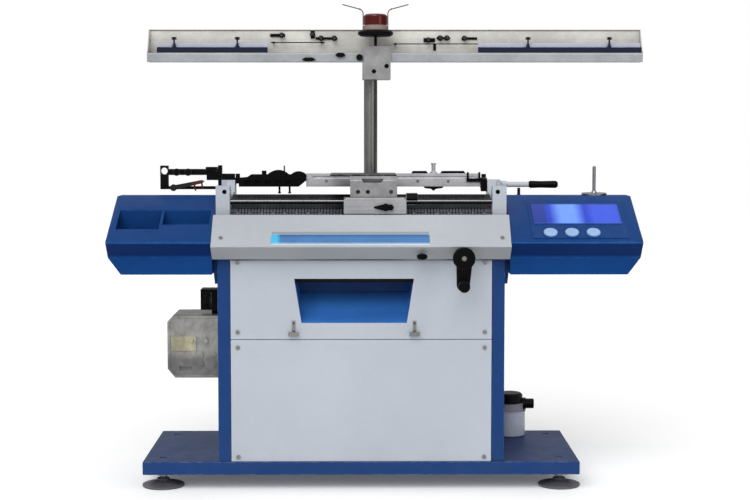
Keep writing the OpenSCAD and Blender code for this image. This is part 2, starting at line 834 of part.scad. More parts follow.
// A needle lies in its groove, with its hook at the top and its butt standing up near the bottom
module needle() {
    along_x(-needle_t / 2, needle_t) polygon([
        [2, -4.5], [bed_slope - 22, -4.5], [bed_slope - 22, -1], [bed_slope - 46, -1],
        [bed_slope - 46, 4.5],
        [bed_slope - 54, 4.5], [bed_slope - 54, -1], [5, -1], [4, 0.5], [7, 1.5], [2, 1.5]]);
}

module needles() color([0.12, 0.12, 0.13]) on_frame() {
    for (side = [-1, 1], i = [0:needle_count - 1])
        on_bed(side) translate([needle_place(i), 0, 0]) needle();
}

module guide_rods() color([0.8, 0.8, 0.82]) on_frame() {
    for (y = [front_rod_y, rear_rod_y])
        rod_x(-bed_half - bracket_t / 2 + 6, y, rod_z, 2 * bed_half + bracket_t - 12, rod_d);
}

// ---------------------------------------------------------------- carriage

carriage_left = carriage_x - carriage_w / 2;
carriage_right = carriage_x + carriage_w / 2;
bridge_x = carriage_x - 4;
bridge_top = bed_z + bridge_rise;
saddle_low = rod_z - 14;
arm_y = front_rod_y - saddle_d / 2;

module saddle(y) block([carriage_left, carriage_right], [y - saddle_d / 2, y + saddle_d / 2],
    [saddle_low, saddle_low + saddle_h]);

// A cam block beside a saddle: its face lies over the needles, and two rows of cams stand down
// from it, with a clear track between them for the needles' butts
module cam_block(side) {
    reach = 1.5;
    face = 6;
    middle = bed_slope - 50;
    near = middle - 7;
    far = middle + 7;
    intersection() {
        on_bed(side) union() {
            translate([carriage_left + 12, 24, face]) cube([carriage_w - 24, bed_slope - 30, 20]);
            for (i = [-1, 1])
                translate([carriage_x + i * 42, 0, reach]) linear_extrude(face) {
                    polygon([[-34, near], [-34, near - 5], [-10, near - 16], [10, near - 16],
                        [34, near - 5], [34, near]]);
                    polygon([[-34, far], [34, far], [34, far + 8], [6, far + 18], [-6, far + 18],
                        [-34, far + 8]]);
                }
        }
        block([carriage_left, carriage_right], [front_rod_y - saddle_d / 2, rear_rod_y + saddle_d / 2],
            [bed_z - 100, saddle_low + saddle_h - 2]);
    }
}

module carriage_body() color([0.5, 0.51, 0.53]) on_frame() difference() {
    union() {
        for (side = [-1, 1]) {
            saddle(side < 0 ? front_rod_y : rear_rod_y);
            cam_block(side);
        }
        // arm that reaches down to the belt, with the clamp on the belt's upper run
        block([carriage_x - 20, carriage_x + 20], [arm_y, arm_y + 6],
            [crank_z + pulley_r - 6, saddle_low + 1]);
        block([carriage_x - 20, carriage_x + 20], [belt_y - 3, arm_y + 3],
            [crank_z + pulley_r - 6, crank_z + pulley_r + belt_t + 6]);
        // buffer that meets the right bracket
        block([carriage_right - 1, carriage_right + 32], [arm_y + 2, arm_y + saddle_d - 2],
            [rod_z - 12, rod_z + 24]);
    }
    for (y = [front_rod_y, rear_rod_y])
        rod_x(carriage_left - 1, y, rod_z, carriage_w + 2, rod_d + 2 * running);
    block([carriage_right, carriage_right + 40], [arm_y, front_rod_y + rod_d / 2 + clear],
        [rod_z - rod_d / 2 - clear, rod_z + rod_d / 2 + clear]);
    block([carriage_x - 30, carriage_x + 30], [belt_y - clear, belt_y + belt_w + clear],
        [crank_z + pulley_r - clear + 0.3, crank_z + pulley_r + belt_t + clear + 0.3]);
}

module carriage_bridge() color([0.62, 0.63, 0.65]) on_frame() {
    front = front_rod_y - saddle_d / 2 + 2;
    back = rear_rod_y + saddle_d / 2 - 2;
    low = saddle_low + saddle_h;
    left = bridge_x - bridge_w / 2;
    difference() {
        union() {
            along_x(left, bridge_w) polygon([
                [front, low], [front + 18, low], [front + 18, bridge_top - 22],
                [front + 28, bridge_top - bridge_t],
                [back - 28, bridge_top - bridge_t], [back - 18, bridge_top - 22], [back - 18, low],
                [back, low], [back, bridge_top - 12], [back - 10, bridge_top],
                [front + 10, bridge_top], [front, bridge_top - 12]]);
            // yarn feeder that hangs over the gap between the beds
            translate([bridge_x, beds_y, bed_z + 6]) cylinder(h = bridge_top - bed_z - 10, d = 9);
        }
        along_y(front - 1, 24) polygon([
            [left + 38, bridge_top - 18], [left + 88, bridge_top - 18], [left + 94, bridge_top - 7],
            [left + 32, bridge_top - 7]]);
        for (x = [left + 22, left + 50, left + 116])
            rod_y(x, front - 1, low + 16, 24, 12);
        translate([bridge_x, beds_y, bed_z]) cylinder(h = bridge_top, d = 5);
    }
    // top plate
    difference() {
        block([bridge_x - bridge_w / 2 - 58, bridge_x + bridge_w / 2 - 2], [front + 16, back - 16],
            [bridge_top, bridge_top + 5]);
        translate([bridge_x, beds_y, bed_z]) cylinder(h = 200, d = 5);
        for (y = [front + 30, back - 30])
            translate([left - 42, y, bridge_top - 1]) cylinder(h = 8, d = 7);
    }
}

module carriage_cover() color([0.68, 0.7, 0.73]) on_frame() {
    low = casing_top + 0.8;
    high = rod_z + 11;
    back = arm_y - 0.2;
    c = 8;
    difference() {
        along_y(back - cover_t, cover_t) polygon([
            [carriage_left, low], [carriage_right, low], [carriage_right, high - c],
            [carriage_right - c, high],
            [carriage_left + c, high], [carriage_left, high - c]]);
        along_y(back - cover_t + sheet, cover_t) polygon([
            [carriage_left + sheet, low - 1], [carriage_right - sheet, low - 1],
            [carriage_right - sheet, high - c - 1], [carriage_right - c - 1, high - sheet],
            [carriage_left + c + 1, high - sheet], [carriage_left + sheet, high - c - 1]]);
        rod_y(knob_x, back - cover_t - 1, knob_z, sheet + 2, 8 + 2 * running);
    }
    // pads that the cover is screwed to the saddle with
    for (x = [carriage_left + sheet, carriage_right - sheet - 10])
        block([x, x + 10], [back - cover_t + sheet - 0.5, back], [rod_z - 9, rod_z + 7]);
}

knob_x = carriage_x + 30;
knob_z = casing_top + 20;

module carriage_knob() color([0.08, 0.08, 0.09]) on_frame() {
    front = arm_y - 0.2 - cover_t;
    rod_y(knob_x, front - 5, knob_z, 5 - 0.3, 22);
    rod_y(knob_x, front - 14, knob_z, 10, 16);
    rod_y(knob_x, front - 1, knob_z, 10, 8);
    along_y(front - 14, 10) polygon([
        [knob_x - 33, knob_z - 2], [knob_x - 10, knob_z - 8], [knob_x + 18, knob_z - 8],
        [knob_x + 23, knob_z],
        [knob_x + 18, knob_z + 8], [knob_x - 10, knob_z + 8], [knob_x - 33, knob_z + 2]]);
}

// ---------------------------------------------------------------- drive and crank

module wheel_y(x, y, z, length, d, bore) difference() {
    rod_y(x, y, z, length, d);
    rod_y(x, y - 1, z, length + 2, bore);
}

module drive_motor() color([0.16, 0.16, 0.17]) on_frame() {
    front = belt_y + belt_w + 12;
    half = motor_w / 2;
    c = 10;
    difference() {
        union() {
            along_y(front, motor_l) polygon([
                [crank_x - half, crank_z - half + c], [crank_x - half + c, crank_z - half],
                [crank_x + half - c, crank_z - half], [crank_x + half, crank_z - half + c],
                [crank_x + half, crank_z + half - c], [crank_x + half - c, crank_z + half],
                [crank_x - half + c, crank_z + half], [crank_x - half, crank_z + half - c]]);
            block([crank_x - half - 12, crank_x + half + 12], [front + 10, front + motor_l - 20],
                [table_z, crank_z - half + 6]);
        }
        for (i = [0:6])
            block([crank_x - half - 1, crank_x - half + 4], [front + 24 + i * 14, front + 30 + i * 14],
                [crank_z - half + 16, crank_z + half - 12]);
        rod_y(crank_x, front - 1, crank_z, 41, shaft_d + 2 * running);
    }
}

module belt_outline(r) {
    for (x = [idler_x, crank_x])
        translate([x, crank_z]) circle(r = r);
    translate([idler_x, crank_z - r]) square([crank_x - idler_x, 2 * r]);
}

module drive_belt() color([0.06, 0.06, 0.07]) on_frame() along_y(belt_y, belt_w) difference() {
    belt_outline(pulley_r + 0.3 + belt_t);
    belt_outline(pulley_r + 0.3);
}

// A flat belt pulley with two rims, a web and a hub
module pulley(x) difference() {
    union() {
        wheel_y(x, belt_y + 0.5, crank_z, belt_w - 1, pulley_d, pulley_d - 12);
        wheel_y(x, belt_y + 4, crank_z, belt_w - 8, pulley_d - 8, 10);
        rod_y(x, belt_y - 1.5, crank_z, belt_w + 3, 26);
        for (y = [belt_y - 1.5, belt_y + belt_w - 0.5])
            wheel_y(x, y, crank_z, 2, pulley_d, pulley_d - 12);
    }
    for (a = [0:60:300])
        translate([x, belt_y - 2, crank_z]) rotate([0, a, 0]) translate([(pulley_d - 12) / 4 + 6.5, 0, 0])
            rotate([-90, 0, 0]) cylinder(h = belt_w + 4, d = 7);
}

module idler_pulley() color([0.5, 0.5, 0.52]) on_frame() difference() {
    pulley(idler_x);
    rod_y(idler_x, belt_y - 3, crank_z, belt_w + 6, 12 + 2 * running);
}

module crank_arm() color([0.05, 0.05, 0.05]) on_frame() {
    tip = crank_z - crank_throw;
    difference() {
        union() {
            rod_y(crank_x, arm_front - 4, crank_z, arm_t + 8, hub_d);
            along_y(arm_front, arm_t) polygon([
                [crank_x - 20, tip], [crank_x + 16, tip], [crank_x + 24, crank_z],
                [crank_x - 22, crank_z]]);
            rod_y(crank_x - 2, arm_front, tip, arm_t, 36);
            rod_y(crank_x, arm_back, crank_z, belt_y + belt_w + 50 - arm_back, shaft_d);
            pulley(crank_x);
        }
        rod_y(crank_x - 2, arm_front - 1, tip, 10, 9);
        rod_y(crank_x, arm_front - 5, crank_z, 7, 16);
    }
}

module crank_grip() color([0.09, 0.09, 0.1]) on_frame() {
    tip = crank_z - crank_throw;
    r = grip_d / 2;
    translate([crank_x - 2, arm_front + 8, tip]) rotate([90, 0, 0]) rotate_extrude() polygon([
        [0, 0], [4.4, 0], [4.4, 8 + clear], [r - 5, 8 + clear], [r - 2, 12 + clear], [r - 2, 24],
        [r, 34], [r, 4 + grip_l], [r - 4, 8 + grip_l + clear], [6, 8 + grip_l + clear],
        [6, 9 + grip_l + clear], [4, 11 + grip_l + clear], [0, 11 + grip_l + clear]]);
}

module latch_knob() color([0.05, 0.05, 0.05]) on_frame() {
    surface = lip_y + bevel_in * (lip_z - latch_z()) / bevel_rise;
    front = surface - 34;
    rod_y(latch_x(), front, latch_z(), 14, 17);
    along_y(front, 12) polygon([
        [latch_x() - 14.5, latch_z() - 4], [latch_x() - 7, latch_z() - 8], [latch_x() + 7, latch_z() - 8],
        [latch_x() + 14.5, latch_z() - 4], [latch_x() + 14.5, latch_z() + 4],
        [latch_x() + 7, latch_z() + 8],
        [latch_x() - 7, latch_z() + 8], [latch_x() - 14.5, latch_z() + 4]]);
    rod_y(latch_x(), front + 10, latch_z(), 45, 8.4);
    block([latch_x() - 5, latch_x() + 5], [front + 54, front + 57], [latch_z() - 5, latch_z() + 22]);
}

// ---------------------------------------------------------------- top rail

rail_left = -bed_half + unit_l;
rail_right = bed_half - 19;
handle_z = rail_z + 6;
pin_x = rail_right - 139;

module top_rail() color([0.74, 0.75, 0.77]) on_frame() {
    front = rail_mid_y - rail_d / 2;
    difference() {
        block([rail_left, rail_right], [front, front + rail_d], [rail_z, rail_z + rail_h]);
        for (x = [rail_left + 60:90:rail_right - 40])
            rod_y(x, front - 1, rail_z + rail_h * 0.4, 6, 9);
        block([rail_left + 20, rail_right - 20], [front - 1, front + 3],
            [rail_z + rail_h - 14, rail_z + rail_h - 9]);
    }
    // yarn pin
    translate([pin_x, rail_mid_y, rail_z + rail_h]) rotate_extrude() polygon([
        [0, 0], [11, 0], [11, 3], [6, 7], [6, 24], [8, 26], [8, 30], [0, 31]]);
}

module rail_end_block() color([0.07, 0.07, 0.08]) on_frame() {
    front = rail_mid_y - rail_d / 2;
    back = rail_mid_y + rail_d / 2;
    start = rail_right + 0.2;
    block([start, bed_half], [front, back], [rail_z - 6, rail_z + 26]);
    block([start, bed_half], [front - 6, front + 1], [rail_z - 14, rail_z + 24]);
    block([rail_right - 42, bed_half], [front - 6, front - 0.3], [rail_z + 14, rail_z + 24]);
    for (x = [rail_right - 38, rail_right - 4])
        translate([x, front - 3.3, rail_z + 23]) cylinder(h = 20, d = 6);
    translate([rail_right + 10, rail_mid_y, rail_z + 25]) cylinder(h = 12, d = 14);
    // stop strips on the rail's top, and a yarn guide below the pin
    for (x = [[pin_x - 66, pin_x - 16], [pin_x + 20, rail_right - 44]])
        along_y(rail_mid_y - 8, 16) polygon([
            [x[0], rail_z + rail_h], [x[1], rail_z + rail_h], [x[1] - 5, rail_z + rail_h + 7],
            [x[0] + 5, rail_z + rail_h + 7]]);
    along_y(rail_mid_y - 9, 18) polygon([
        [pin_x - 30, rail_z], [pin_x - 26, rail_z - 5], [pin_x - 8, rail_z - 7], [pin_x, rail_z - 13],
        [pin_x + 8, rail_z - 7], [pin_x + 26, rail_z - 5], [pin_x + 30, rail_z]]);
}

// A cover with an arched top, w wide and h high
module arched_cover(x, z, w, h) {
    r = (w * w / 4 + h * h) / (2 * h);
    intersection() {
        rod_y(x, rail_mid_y - 16, z + h - r, 32, 2 * r);
        block([x - w / 2, x + w / 2], [rail_mid_y - 16, rail_mid_y + 16], [z - 2, z + h]);
    }
}

// Yarn change unit: a body with solenoids under arched covers on top and two yarn fingers below
module yarn_change_unit() color([0.08, 0.08, 0.09]) on_frame() {
    left = -bed_half;
    front = rail_mid_y - 20;
    back = rail_mid_y + 20;
    difference() {
        union() {
            along_y(front, back - front) polygon([
                [left + 10, rail_z], [rail_left - 22, rail_z], [rail_left, rail_z + 18],
                [rail_left, rail_z + 36],
                [left + 46, rail_z + 36], [left + 34, rail_z + 28], [left + 10, rail_z + 26]]);
            block([left, left + 12], [rail_mid_y - 9, rail_mid_y + 9], [rail_z + 9, rail_z + rail_h - 1]);
            block([left - 34, left + 12], [rail_mid_y - 9, rail_mid_y + 9],
                [rail_z + 9, rail_z + rail_h - 13]);
        }
        for (i = [0:4])
            block([left + 28 + i * 30, left + 44 + i * 30], [front - 1, front + 6],
                [rail_z + 6, rail_z + 18]);
    }
    arched_cover(left + 126, rail_z + 36, 62, 13);
    arched_cover(left + 186, rail_z + 36, 44, 9);
    translate([left + 84, rail_mid_y, rail_z + 35]) cylinder(h = 12, d = 14);
    translate([left + 144, rail_mid_y, rail_z + 40]) cylinder(h = 22, d = 4);
    for (x = [left + 130, left + 160]) {
        translate([x, rail_mid_y - 12, rail_z - 18]) cylinder(h = 20, d = 6);
        translate([x, rail_mid_y - 12, rail_z - 20]) cylinder(h = 4, d = 9);
    }
}

feed_left = -bed_half - bracket_t - 183;
feed_pivot = [feed_left + 40, rail_z + 5];

// Feed frame: an open frame that reaches out over the left console
module feed_frame() color([0.09, 0.09, 0.1]) on_frame() {
    y = rail_mid_y - 8;
    inner = -bed_half - bracket_t;
    difference() {
        union() {
            block([feed_left, feed_left + 24], [y, y + 16], [rail_z - 8, rail_z + 62]);
            block([feed_left, inner], [y, y + 16], [rail_z + 34, rail_z + 52]);
            block([feed_left, inner], [y, y + 16], [rail_z - 8, rail_z + 1]);
            block([inner - 12, inner], [y, y + 16], [rail_z - 8, rail_z + 63]);
            block([inner - 48, inner - 14], [y - 6, y + 22], [rail_z + 46, rail_z + 58]);
            block([inner - 46, inner - 12], [y, y + 16], [rail_z + 19, rail_z + 36]);
        }
        rod_y(feed_left + 12, y - 1, rail_z + 46, 18, 20);
        rod_y(feed_pivot[0], y - 1, feed_pivot[1] - 8, 18, 8 + 2 * running);
    }
    for (x = [feed_left + 50, feed_left + 84])
        translate([x, y - 10, rail_z + 43]) rotate([-90, 0, 0]) {
            cylinder(h = 11, d = 14);
            translate([0, 0, -3]) cylinder(h = 4, d = 22);
        }
}

// Feed arm: a lever on the feed frame, with two thread hooks at its free end
module feed_arm() color([0.2, 0.08, 0.08]) on_frame() {
    y = rail_mid_y - 8;
    length = 86;
    translate([feed_pivot[0], 0, feed_pivot[1] - 8]) {
        rod_y(0, y - 9, 0, 24, 8);
        rod_y(0, y - 9, 0, 8, 20);
        rotate([0, -12, 0]) {
            along_y(y - 8.5, 7) polygon([[0, -7], [length, -5], [length + 8, 0], [length, 5], [0, 7]]);
            for (x = [length - 24, length - 2])
                translate([x, y - 5, -22]) cylinder(h = 18, d = 5);
        }
    }
}

module rail_handle() color([0.05, 0.05, 0.06]) on_frame() {
    start = bed_half + bracket_t;
    rod_x(start - bracket_t + 8, rail_mid_y, handle_z, bracket_t, 12);
    rod_x(start + 1, rail_mid_y, handle_z, 88, 16);
    rod_x(start + 4, rail_mid_y, handle_z, 14, 21);
    translate([start + 86, rail_mid_y, handle_z]) rotate([0, 90, 0]) rotate_extrude() polygon([
        [0, 0], [handle_d / 2 - 2, 0], [handle_d / 2, 4], [handle_d / 2 - 1, handle_l * 0.4],
        [handle_d / 2, handle_l - 6], [handle_d / 2 - 4, handle_l], [0, handle_l]]);
}

// ---------------------------------------------------------------- mast and beam

module mast() color([0.6, 0.6, 0.6]) on_frame() translate([mast_x, mast_mid_y, table_z + 12]) difference() {
    cylinder(h = beam_z + 30 - table_z - 12, d = mast_d);
    translate([0, 0, 4]) cylinder(h = beam_z, d = mast_d - 6);
}

module mast_foot() color([0.4, 0.41, 0.43]) on_frame() translate([mast_x, mast_mid_y, table_z])
    difference() {
    union() {
        translate([-60, -45, 0]) cube([120, 90, 11.8]);
        cylinder(h = 90, d = mast_d + 18);
    }
    translate([0, 0, 11.9]) cylinder(h = 100, d = mast_d + 2 * running);
    for (x = [-48, 48], y = [-33, 33])
        translate([x, y, -1]) cylinder(h = 20, d = 10);
}

module beam_clamp() color([0.6, 0.6, 0.61]) on_frame() {
    left = mast_x + 19 - clamp_w / 2;
    front = beam_front - 10;
    difference() {
        union() {
            block([min(left, mast_x - mast_d / 2 - 5), left + clamp_w],
                [front, mast_mid_y + mast_d / 2 + 12],
                [beam_z - clamp_h, beam_z]);
            block([left, left + clamp_w], [front, beam_front - 0.3], [beam_z - clamp_h, beam_z + 46]);
        }
        translate([mast_x, mast_mid_y, beam_z - clamp_h - 1])
            cylinder(h = clamp_h + 2, d = mast_d + 2 * running);
        block([mast_x - 1.5, mast_x + 1.5], [mast_mid_y, mast_mid_y + 60],
            [beam_z - clamp_h - 1, beam_z + 1]);
        for (p = [[0.38, 0.55], [0.85, 0.25]])
            rod_y(left + clamp_w * p[0], front - 1, beam_z - clamp_h * p[1], 5, 13);
    }
}

function beam_path() = [
    [beam_front, beam_z + beam_lip], [beam_front, beam_z], [beam_back, beam_z],
    [beam_back, beam_z + beam_h], [beam_back - 6, beam_z + beam_h]];

module yarn_beam() color([0.73, 0.72, 0.69]) on_frame() {
    difference() {
        along_x(beam_left, beam_l) polygon(folded(beam_path(), beam_wall));
        for (x = [mast_x - 30, mast_x + 68])
            translate([x, beam_front + 20, beam_z - 1]) cylinder(h = 6, d = 9);
    }
    for (x = [beam_left, beam_right - beam_wall])
        along_x(x, beam_wall) polygon([
            [beam_front, beam_z], [beam_back, beam_z], [beam_back, beam_z + beam_h],
            [beam_back - 6, beam_z + beam_h], [beam_front, beam_z + beam_lip]]);
}

// Two square bars that lie in the beam behind its lip, each with an upright strip along its back
strip_top = beam_z + beam_lip + 16;
strip_y = beam_front + beam_wall;

function strip_places() = [[beam_left + 29, beam_left + 354], [beam_right - 485, beam_right - 5]];

module beam_strips() color([0.18, 0.22, 0.36]) on_frame() {
    for (x = strip_places())
        difference() {
            block(x, [strip_y, strip_y + 18], [beam_z + beam_wall, strip_top]);
            block([x[0] + 3, x[1] - 3], [strip_y + 3, strip_y + 15], [beam_z, strip_top - 3]);
        }
    for (x = strip_places())
        block(x, [strip_y + 16, strip_y + 18], [strip_top - 1, strip_top + 13]);
}

function post_places() = [beam_left + 79, beam_left + 265, beam_right - 338, beam_right - 98];

module guide_posts() color([0.1, 0.13, 0.25]) on_frame() {
    for (x = post_places())
        translate([x, strip_y + 9, strip_top]) rotate_extrude() polygon([
            [0, 0], [6.5, 0], [6.5, 2], [3.2, 9], [2.5, 12], [2.5, 22], [8, 23], [8, 25], [4, 26],
            [8, 27], [8, 29], [0, 31]]);
}

web_y = beam_back - beam_wall;

// A yarn tension unit: a bar on the beam's web with sprung discs at the places given along it
module tension_unit(x, z, w, h, places) {
    block([x, x + w], [web_y - 4, web_y], [z - h / 2, z + h / 2]);
    for (p = places)
        translate([x + p, web_y - 3, z]) rotate([90, 0, 0]) {
            rotate(45) cylinder(h = 26, d = 5);
            cylinder(h = 4, d = 11);
            translate([0, 0, 6]) cylinder(h = 1.6, d = 16);
            translate([0, 0, 8.4]) cylinder(h = 1.6, d = 16);
            translate([0, 0, 11.6]) cylinder(h = 8, d = 10);
        }
}

// A small guide on the front of the beam's lip, w wide and h high
module lip_guide(x, z, w, h) along_y(beam_front - 8, 8) polygon([
    [x - w / 2, z], [x - w / 4, z - h / 2], [x + w / 4, z - h / 2], [x + w / 2, z], [x + w / 4, z + h / 2],
    [x - w / 4, z + h / 2]]);

module tension_units() color([0.1, 0.1, 0.11]) on_frame() {
    tension_unit(mast_x - 298, beam_z + 80, 44, 9, [34]);
    tension_unit(mast_x - 178, beam_z + 82, 12, 22, [6]);
    tension_unit(mast_x - 163, beam_z + 71, 64, 7, [16, 55]);
    tension_unit(mast_x + 157, beam_z + 66, 34, 12, [14]);
    tension_unit(mast_x + 196, beam_z + 72, 40, 6, [10, 30]);
    tension_unit(mast_x + 186, beam_z + 46, 8, 20, []);
    tension_unit(mast_x + 270, beam_z + 71, 46, 7, [8]);
    lip_guide(mast_x - 182, beam_z + 7, 40, 11);
    lip_guide(mast_x - 89, beam_z + 20, 30, 13);
    rod_y(mast_x - 33, beam_front - 9, beam_z + 13, 9, 19);
}

// A stiff wire that runs along the beam on two small eye posts
module guide_wire(x, z, length) {
    y = web_y - 20;
    rod_x(x, y, z, length, 3);
    for (px = [x + 8, x + length - 8])
        rod_y(px, y - 2, z, web_y - y + 2, 6);
}

module guide_wires() color([0.35, 0.35, 0.36]) on_frame() {
    guide_wire(mast_x - 296, beam_z + 58, 160);
    guide_wire(mast_x + 66, beam_z + 54, 340);
}

// ---------------------------------------------------------------- lamp

lamp_x = mast_x + 14;
lamp_y = beam_front - 5;
flange_z = beam_z + beam_h - 23;
lens_z = flange_z + 34;

module lamp_flange() color([0.13, 0.18, 0.17]) on_frame() translate([lamp_x, lamp_y, 0]) {
    translate([0, 0, beam_z + 46]) cylinder(h = flange_z - beam_z - 45, d = 9);
    translate([0, 0, flange_z]) rotate_extrude() polygon([
        [0, 0], [flange_d / 2 - 8, 0], [flange_d / 2, 5], [flange_d / 2, 12], [flange_d / 2 - 6, 17.8],
        [0, 17.8]]);
}

module lamp_base() color([0.75, 0.64, 0.6]) on_frame() translate([lamp_x, lamp_y, flange_z + 18])
    rotate_extrude()
    polygon([[0, 0], [lens_d / 2, 0], [lens_d / 2, 12], [lens_d / 2 - 3, 15.8], [0, 15.8]]);

module lamp_lens() color([0.6, 0.1, 0.08]) on_frame() translate([lamp_x, lamp_y, lens_z]) rotate_extrude()
    polygon([[0, 0], [lens_d / 2, 0], [lens_d / 2, lens_h - 7], [lens_d / 2 - 2, lens_h - 3],
        [lens_d / 2 - 7, lens_h], [0, lens_h]]);

// A quarter or less of a ring of wire, in the X-Z plane, bending from straight up towards +X
module wire_bend(radius, angle) translate([radius, 0, 0]) rotate([90, 0, 180]) rotate_extrude(angle = angle)
    translate([radius, 0]) circle(d = wire_d);

// A bead covers the joint between the bent foot and the straight tail
module stop_wire() {
    bend = 14;
    angle = 75;
    cylinder(h = 48, d = wire_d);
    translate([0, 0, 48]) wire_bend(bend, angle);
    translate([bend - bend * cos(angle), 0, 48 + bend * sin(angle)]) {
        rotate([0, angle, 0]) cylinder(h = 52, d = wire_d);
        rotate([90, 0, 0]) sphere(d = wire_d * 1.6);
    }
}

module stop_wires() color([0.35, 0.1, 0.08]) on_frame() translate([lamp_x, lamp_y, flange_z + 18])
    for (side = [0, 1])
        mirror([side, 0, 0]) translate([lens_d / 2 + wire_d / 2 + 0.3, 0, 0]) stop_wire();

// ---------------------------------------------------------------- side units

box_low = seam_z - 124;
box_y = cab_y + 110;
box_right = -cab_half;
box_left = box_right - box_w;

function box_outline(g = 0) = [
    [box_left + 22 + g, box_low + g], [box_right - g, box_low + g], [box_right - g, box_low + box_h - g],
    [box_left + 16 + g, box_low + box_h - g], [box_left + g, box_low + box_h - 18 - g],
    [box_left + g, box_low + 26 + g]];

module control_box() color([0.58, 0.59, 0.6]) on_frame() difference() {
    along_y(box_y, box_d) polygon(box_outline());
    along_y(box_y - 1, box_d - 3) polygon(inset(box_outline(), 4));
    for (i = [0:3])
        block([box_left - 1, box_left + 9], [box_y + 30 + i * 26, box_y + 44 + i * 26],
            [box_low + 60, box_low + 110]);
}

// Front cover of the control box: a plate with a raised rim, two button caps and a slot
module control_box_cover() color([0.6, 0.6, 0.6]) on_frame() {
    difference() {
        along_y(box_y - 14, 13.8) polygon(box_outline());
        along_y(box_y - 15, 4) polygon(inset(box_outline(), 7));
        block([box_left + 34, box_left + 70], [box_y - 16, box_y - 4], [box_low + 20, box_low + 32]);
    }
    block([box_left + 9, box_left + 84], [box_y - 14, box_y - 10], [box_low + 78, box_low + 120]);
    for (x = [box_left + 70, box_left + 112])
        rod_y(x, box_y - 20, box_low + 108, 10, 12);
    for (x = [box_left + 96, box_left + 132], z = [box_low + 40, box_low + 66])
        rod_y(x, box_y - 15, z, 5, 16);
}

module switch_box() color([0.12, 0.12, 0.14]) on_frame() {
    low = box_low + box_h + 14;
    difference() {
        block([box_right - 60, box_right], [box_y + 10, box_y + 70], [low, low + 60]);
        block([box_right - 52, box_right - 30], [box_y + 9, box_y + 16], [low + 10, low + 50]);
    }
    block([box_right - 48, box_right - 34], [box_y + 12, box_y + 18], [low + 16, low + 44]);
    translate([box_right - 20, box_y + 40, low - 13.8]) cylinder(h = 14.8, d = 22);
}

can_x = cab_half + 51;
can_y = base_d - 68;

module vacuum_can() color([0.6, 0.6, 0.65]) on_frame() translate([can_x, can_y, floor_z]) rotate_extrude()
    polygon([[0, 0], [can_d / 2 - 3, 0], [can_d / 2, 3], [can_d / 2, can_h - 4], [can_d / 2 + 2, can_h - 3],
        [can_d / 2 + 2, can_h], [can_d / 2 - 4, can_h], [can_d / 2 - 4, 4], [0, 4]]);

// Lid of the vacuum can, with a filter head and an outlet
module vacuum_lid() color([0.1, 0.1, 0.11]) on_frame() translate([can_x, can_y, floor_z + can_h])
    difference() {
    r = can_d / 2;
    union() {
        rotate_extrude() polygon([
            [0, 0.3], [r - 1, 0.3], [r - 1, 6], [r - 12, 18], [r - 12, 24], [r - 8, 26], [r - 8, 48],
            [r - 14, 54], [0, 54]]);
        rod_x(0, 0, 20, r + 2, 36);
        rod_x(0, 0, 20, r + 26, 30);
    }
    rod_x(10, 0, 20, r + 20, 22);
}

base_plate();
levelling_feet();
foot_nuts();
side_panels();
back_panel();
bed_table();
upper_front_panel();
lower_front_panel();
panel_screws();
glove_chute();
bag_hooks();
head_casing();
casing_strip();
left_console();
right_console();
console_brackets();
display_panel();
lcd_screen();
yarn_spindle();
end_brackets();
front_needle_bed();
rear_needle_bed();
needles();
guide_rods();
top_rail();
rail_end_block();
yarn_change_unit();
feed_frame();
feed_arm();
rail_handle();
mast();
mast_foot();
beam_clamp();
yarn_beam();
beam_strips();
guide_posts();
tension_units();
guide_wires();
lamp_flange();
lamp_base();
lamp_lens();
stop_wires();
control_box();
control_box_cover();
switch_box();
vacuum_can();
vacuum_lid();
drive_motor();
drive_belt();
idler_pulley();
crank_arm();
crank_grip();
latch_knob();
start_button();
stop_button();
reset_button();
carriage_body();
carriage_bridge();
carriage_cover();
carriage_knob();
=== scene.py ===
"""Glove knitting machine: paint and metal finishes, small fittings, studio and camera."""
import json
import math

import bmesh
import bpy
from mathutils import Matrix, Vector


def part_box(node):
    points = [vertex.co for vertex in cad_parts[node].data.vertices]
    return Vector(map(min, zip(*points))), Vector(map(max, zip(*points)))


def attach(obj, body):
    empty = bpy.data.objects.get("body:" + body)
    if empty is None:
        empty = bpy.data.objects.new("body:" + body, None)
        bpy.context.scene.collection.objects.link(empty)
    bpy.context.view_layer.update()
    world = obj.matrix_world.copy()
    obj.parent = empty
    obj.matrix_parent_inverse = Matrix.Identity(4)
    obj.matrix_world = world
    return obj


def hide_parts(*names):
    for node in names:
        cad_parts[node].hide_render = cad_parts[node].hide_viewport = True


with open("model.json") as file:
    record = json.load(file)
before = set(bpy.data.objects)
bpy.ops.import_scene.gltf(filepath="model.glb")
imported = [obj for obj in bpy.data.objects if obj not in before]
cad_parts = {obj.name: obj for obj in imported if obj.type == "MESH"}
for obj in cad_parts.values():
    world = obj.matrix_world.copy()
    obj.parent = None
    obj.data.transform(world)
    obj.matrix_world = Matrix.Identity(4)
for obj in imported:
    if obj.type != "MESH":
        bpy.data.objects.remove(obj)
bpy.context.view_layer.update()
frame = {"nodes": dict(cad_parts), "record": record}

NODES = frame["nodes"]
BODY_OF = {n: b for b, members in frame["record"]["behaviour"]["bodies"].items() for n in members}
SLOT_OF = {s["node"]: s["material_slot"] for s in frame["record"]["subparts"]}


def edges_of(name):
    """Lowest and highest x, y and z of a node: (x0, x1), (y0, y1), (z0, z1)."""
    low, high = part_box(name)
    return [(low[i], high[i]) for i in range(3)]


# ------------------------------------------------------------------ node trees

def paint(red, green, blue):
    """A paint chip's 0-255 values as a shader colour."""
    def channel(v):
        v /= 255
        return v / 12.92 if v <= 0.04045 else ((v + 0.055) / 1.055) ** 2.4
    return (channel(red), channel(green), channel(blue), 1.0)


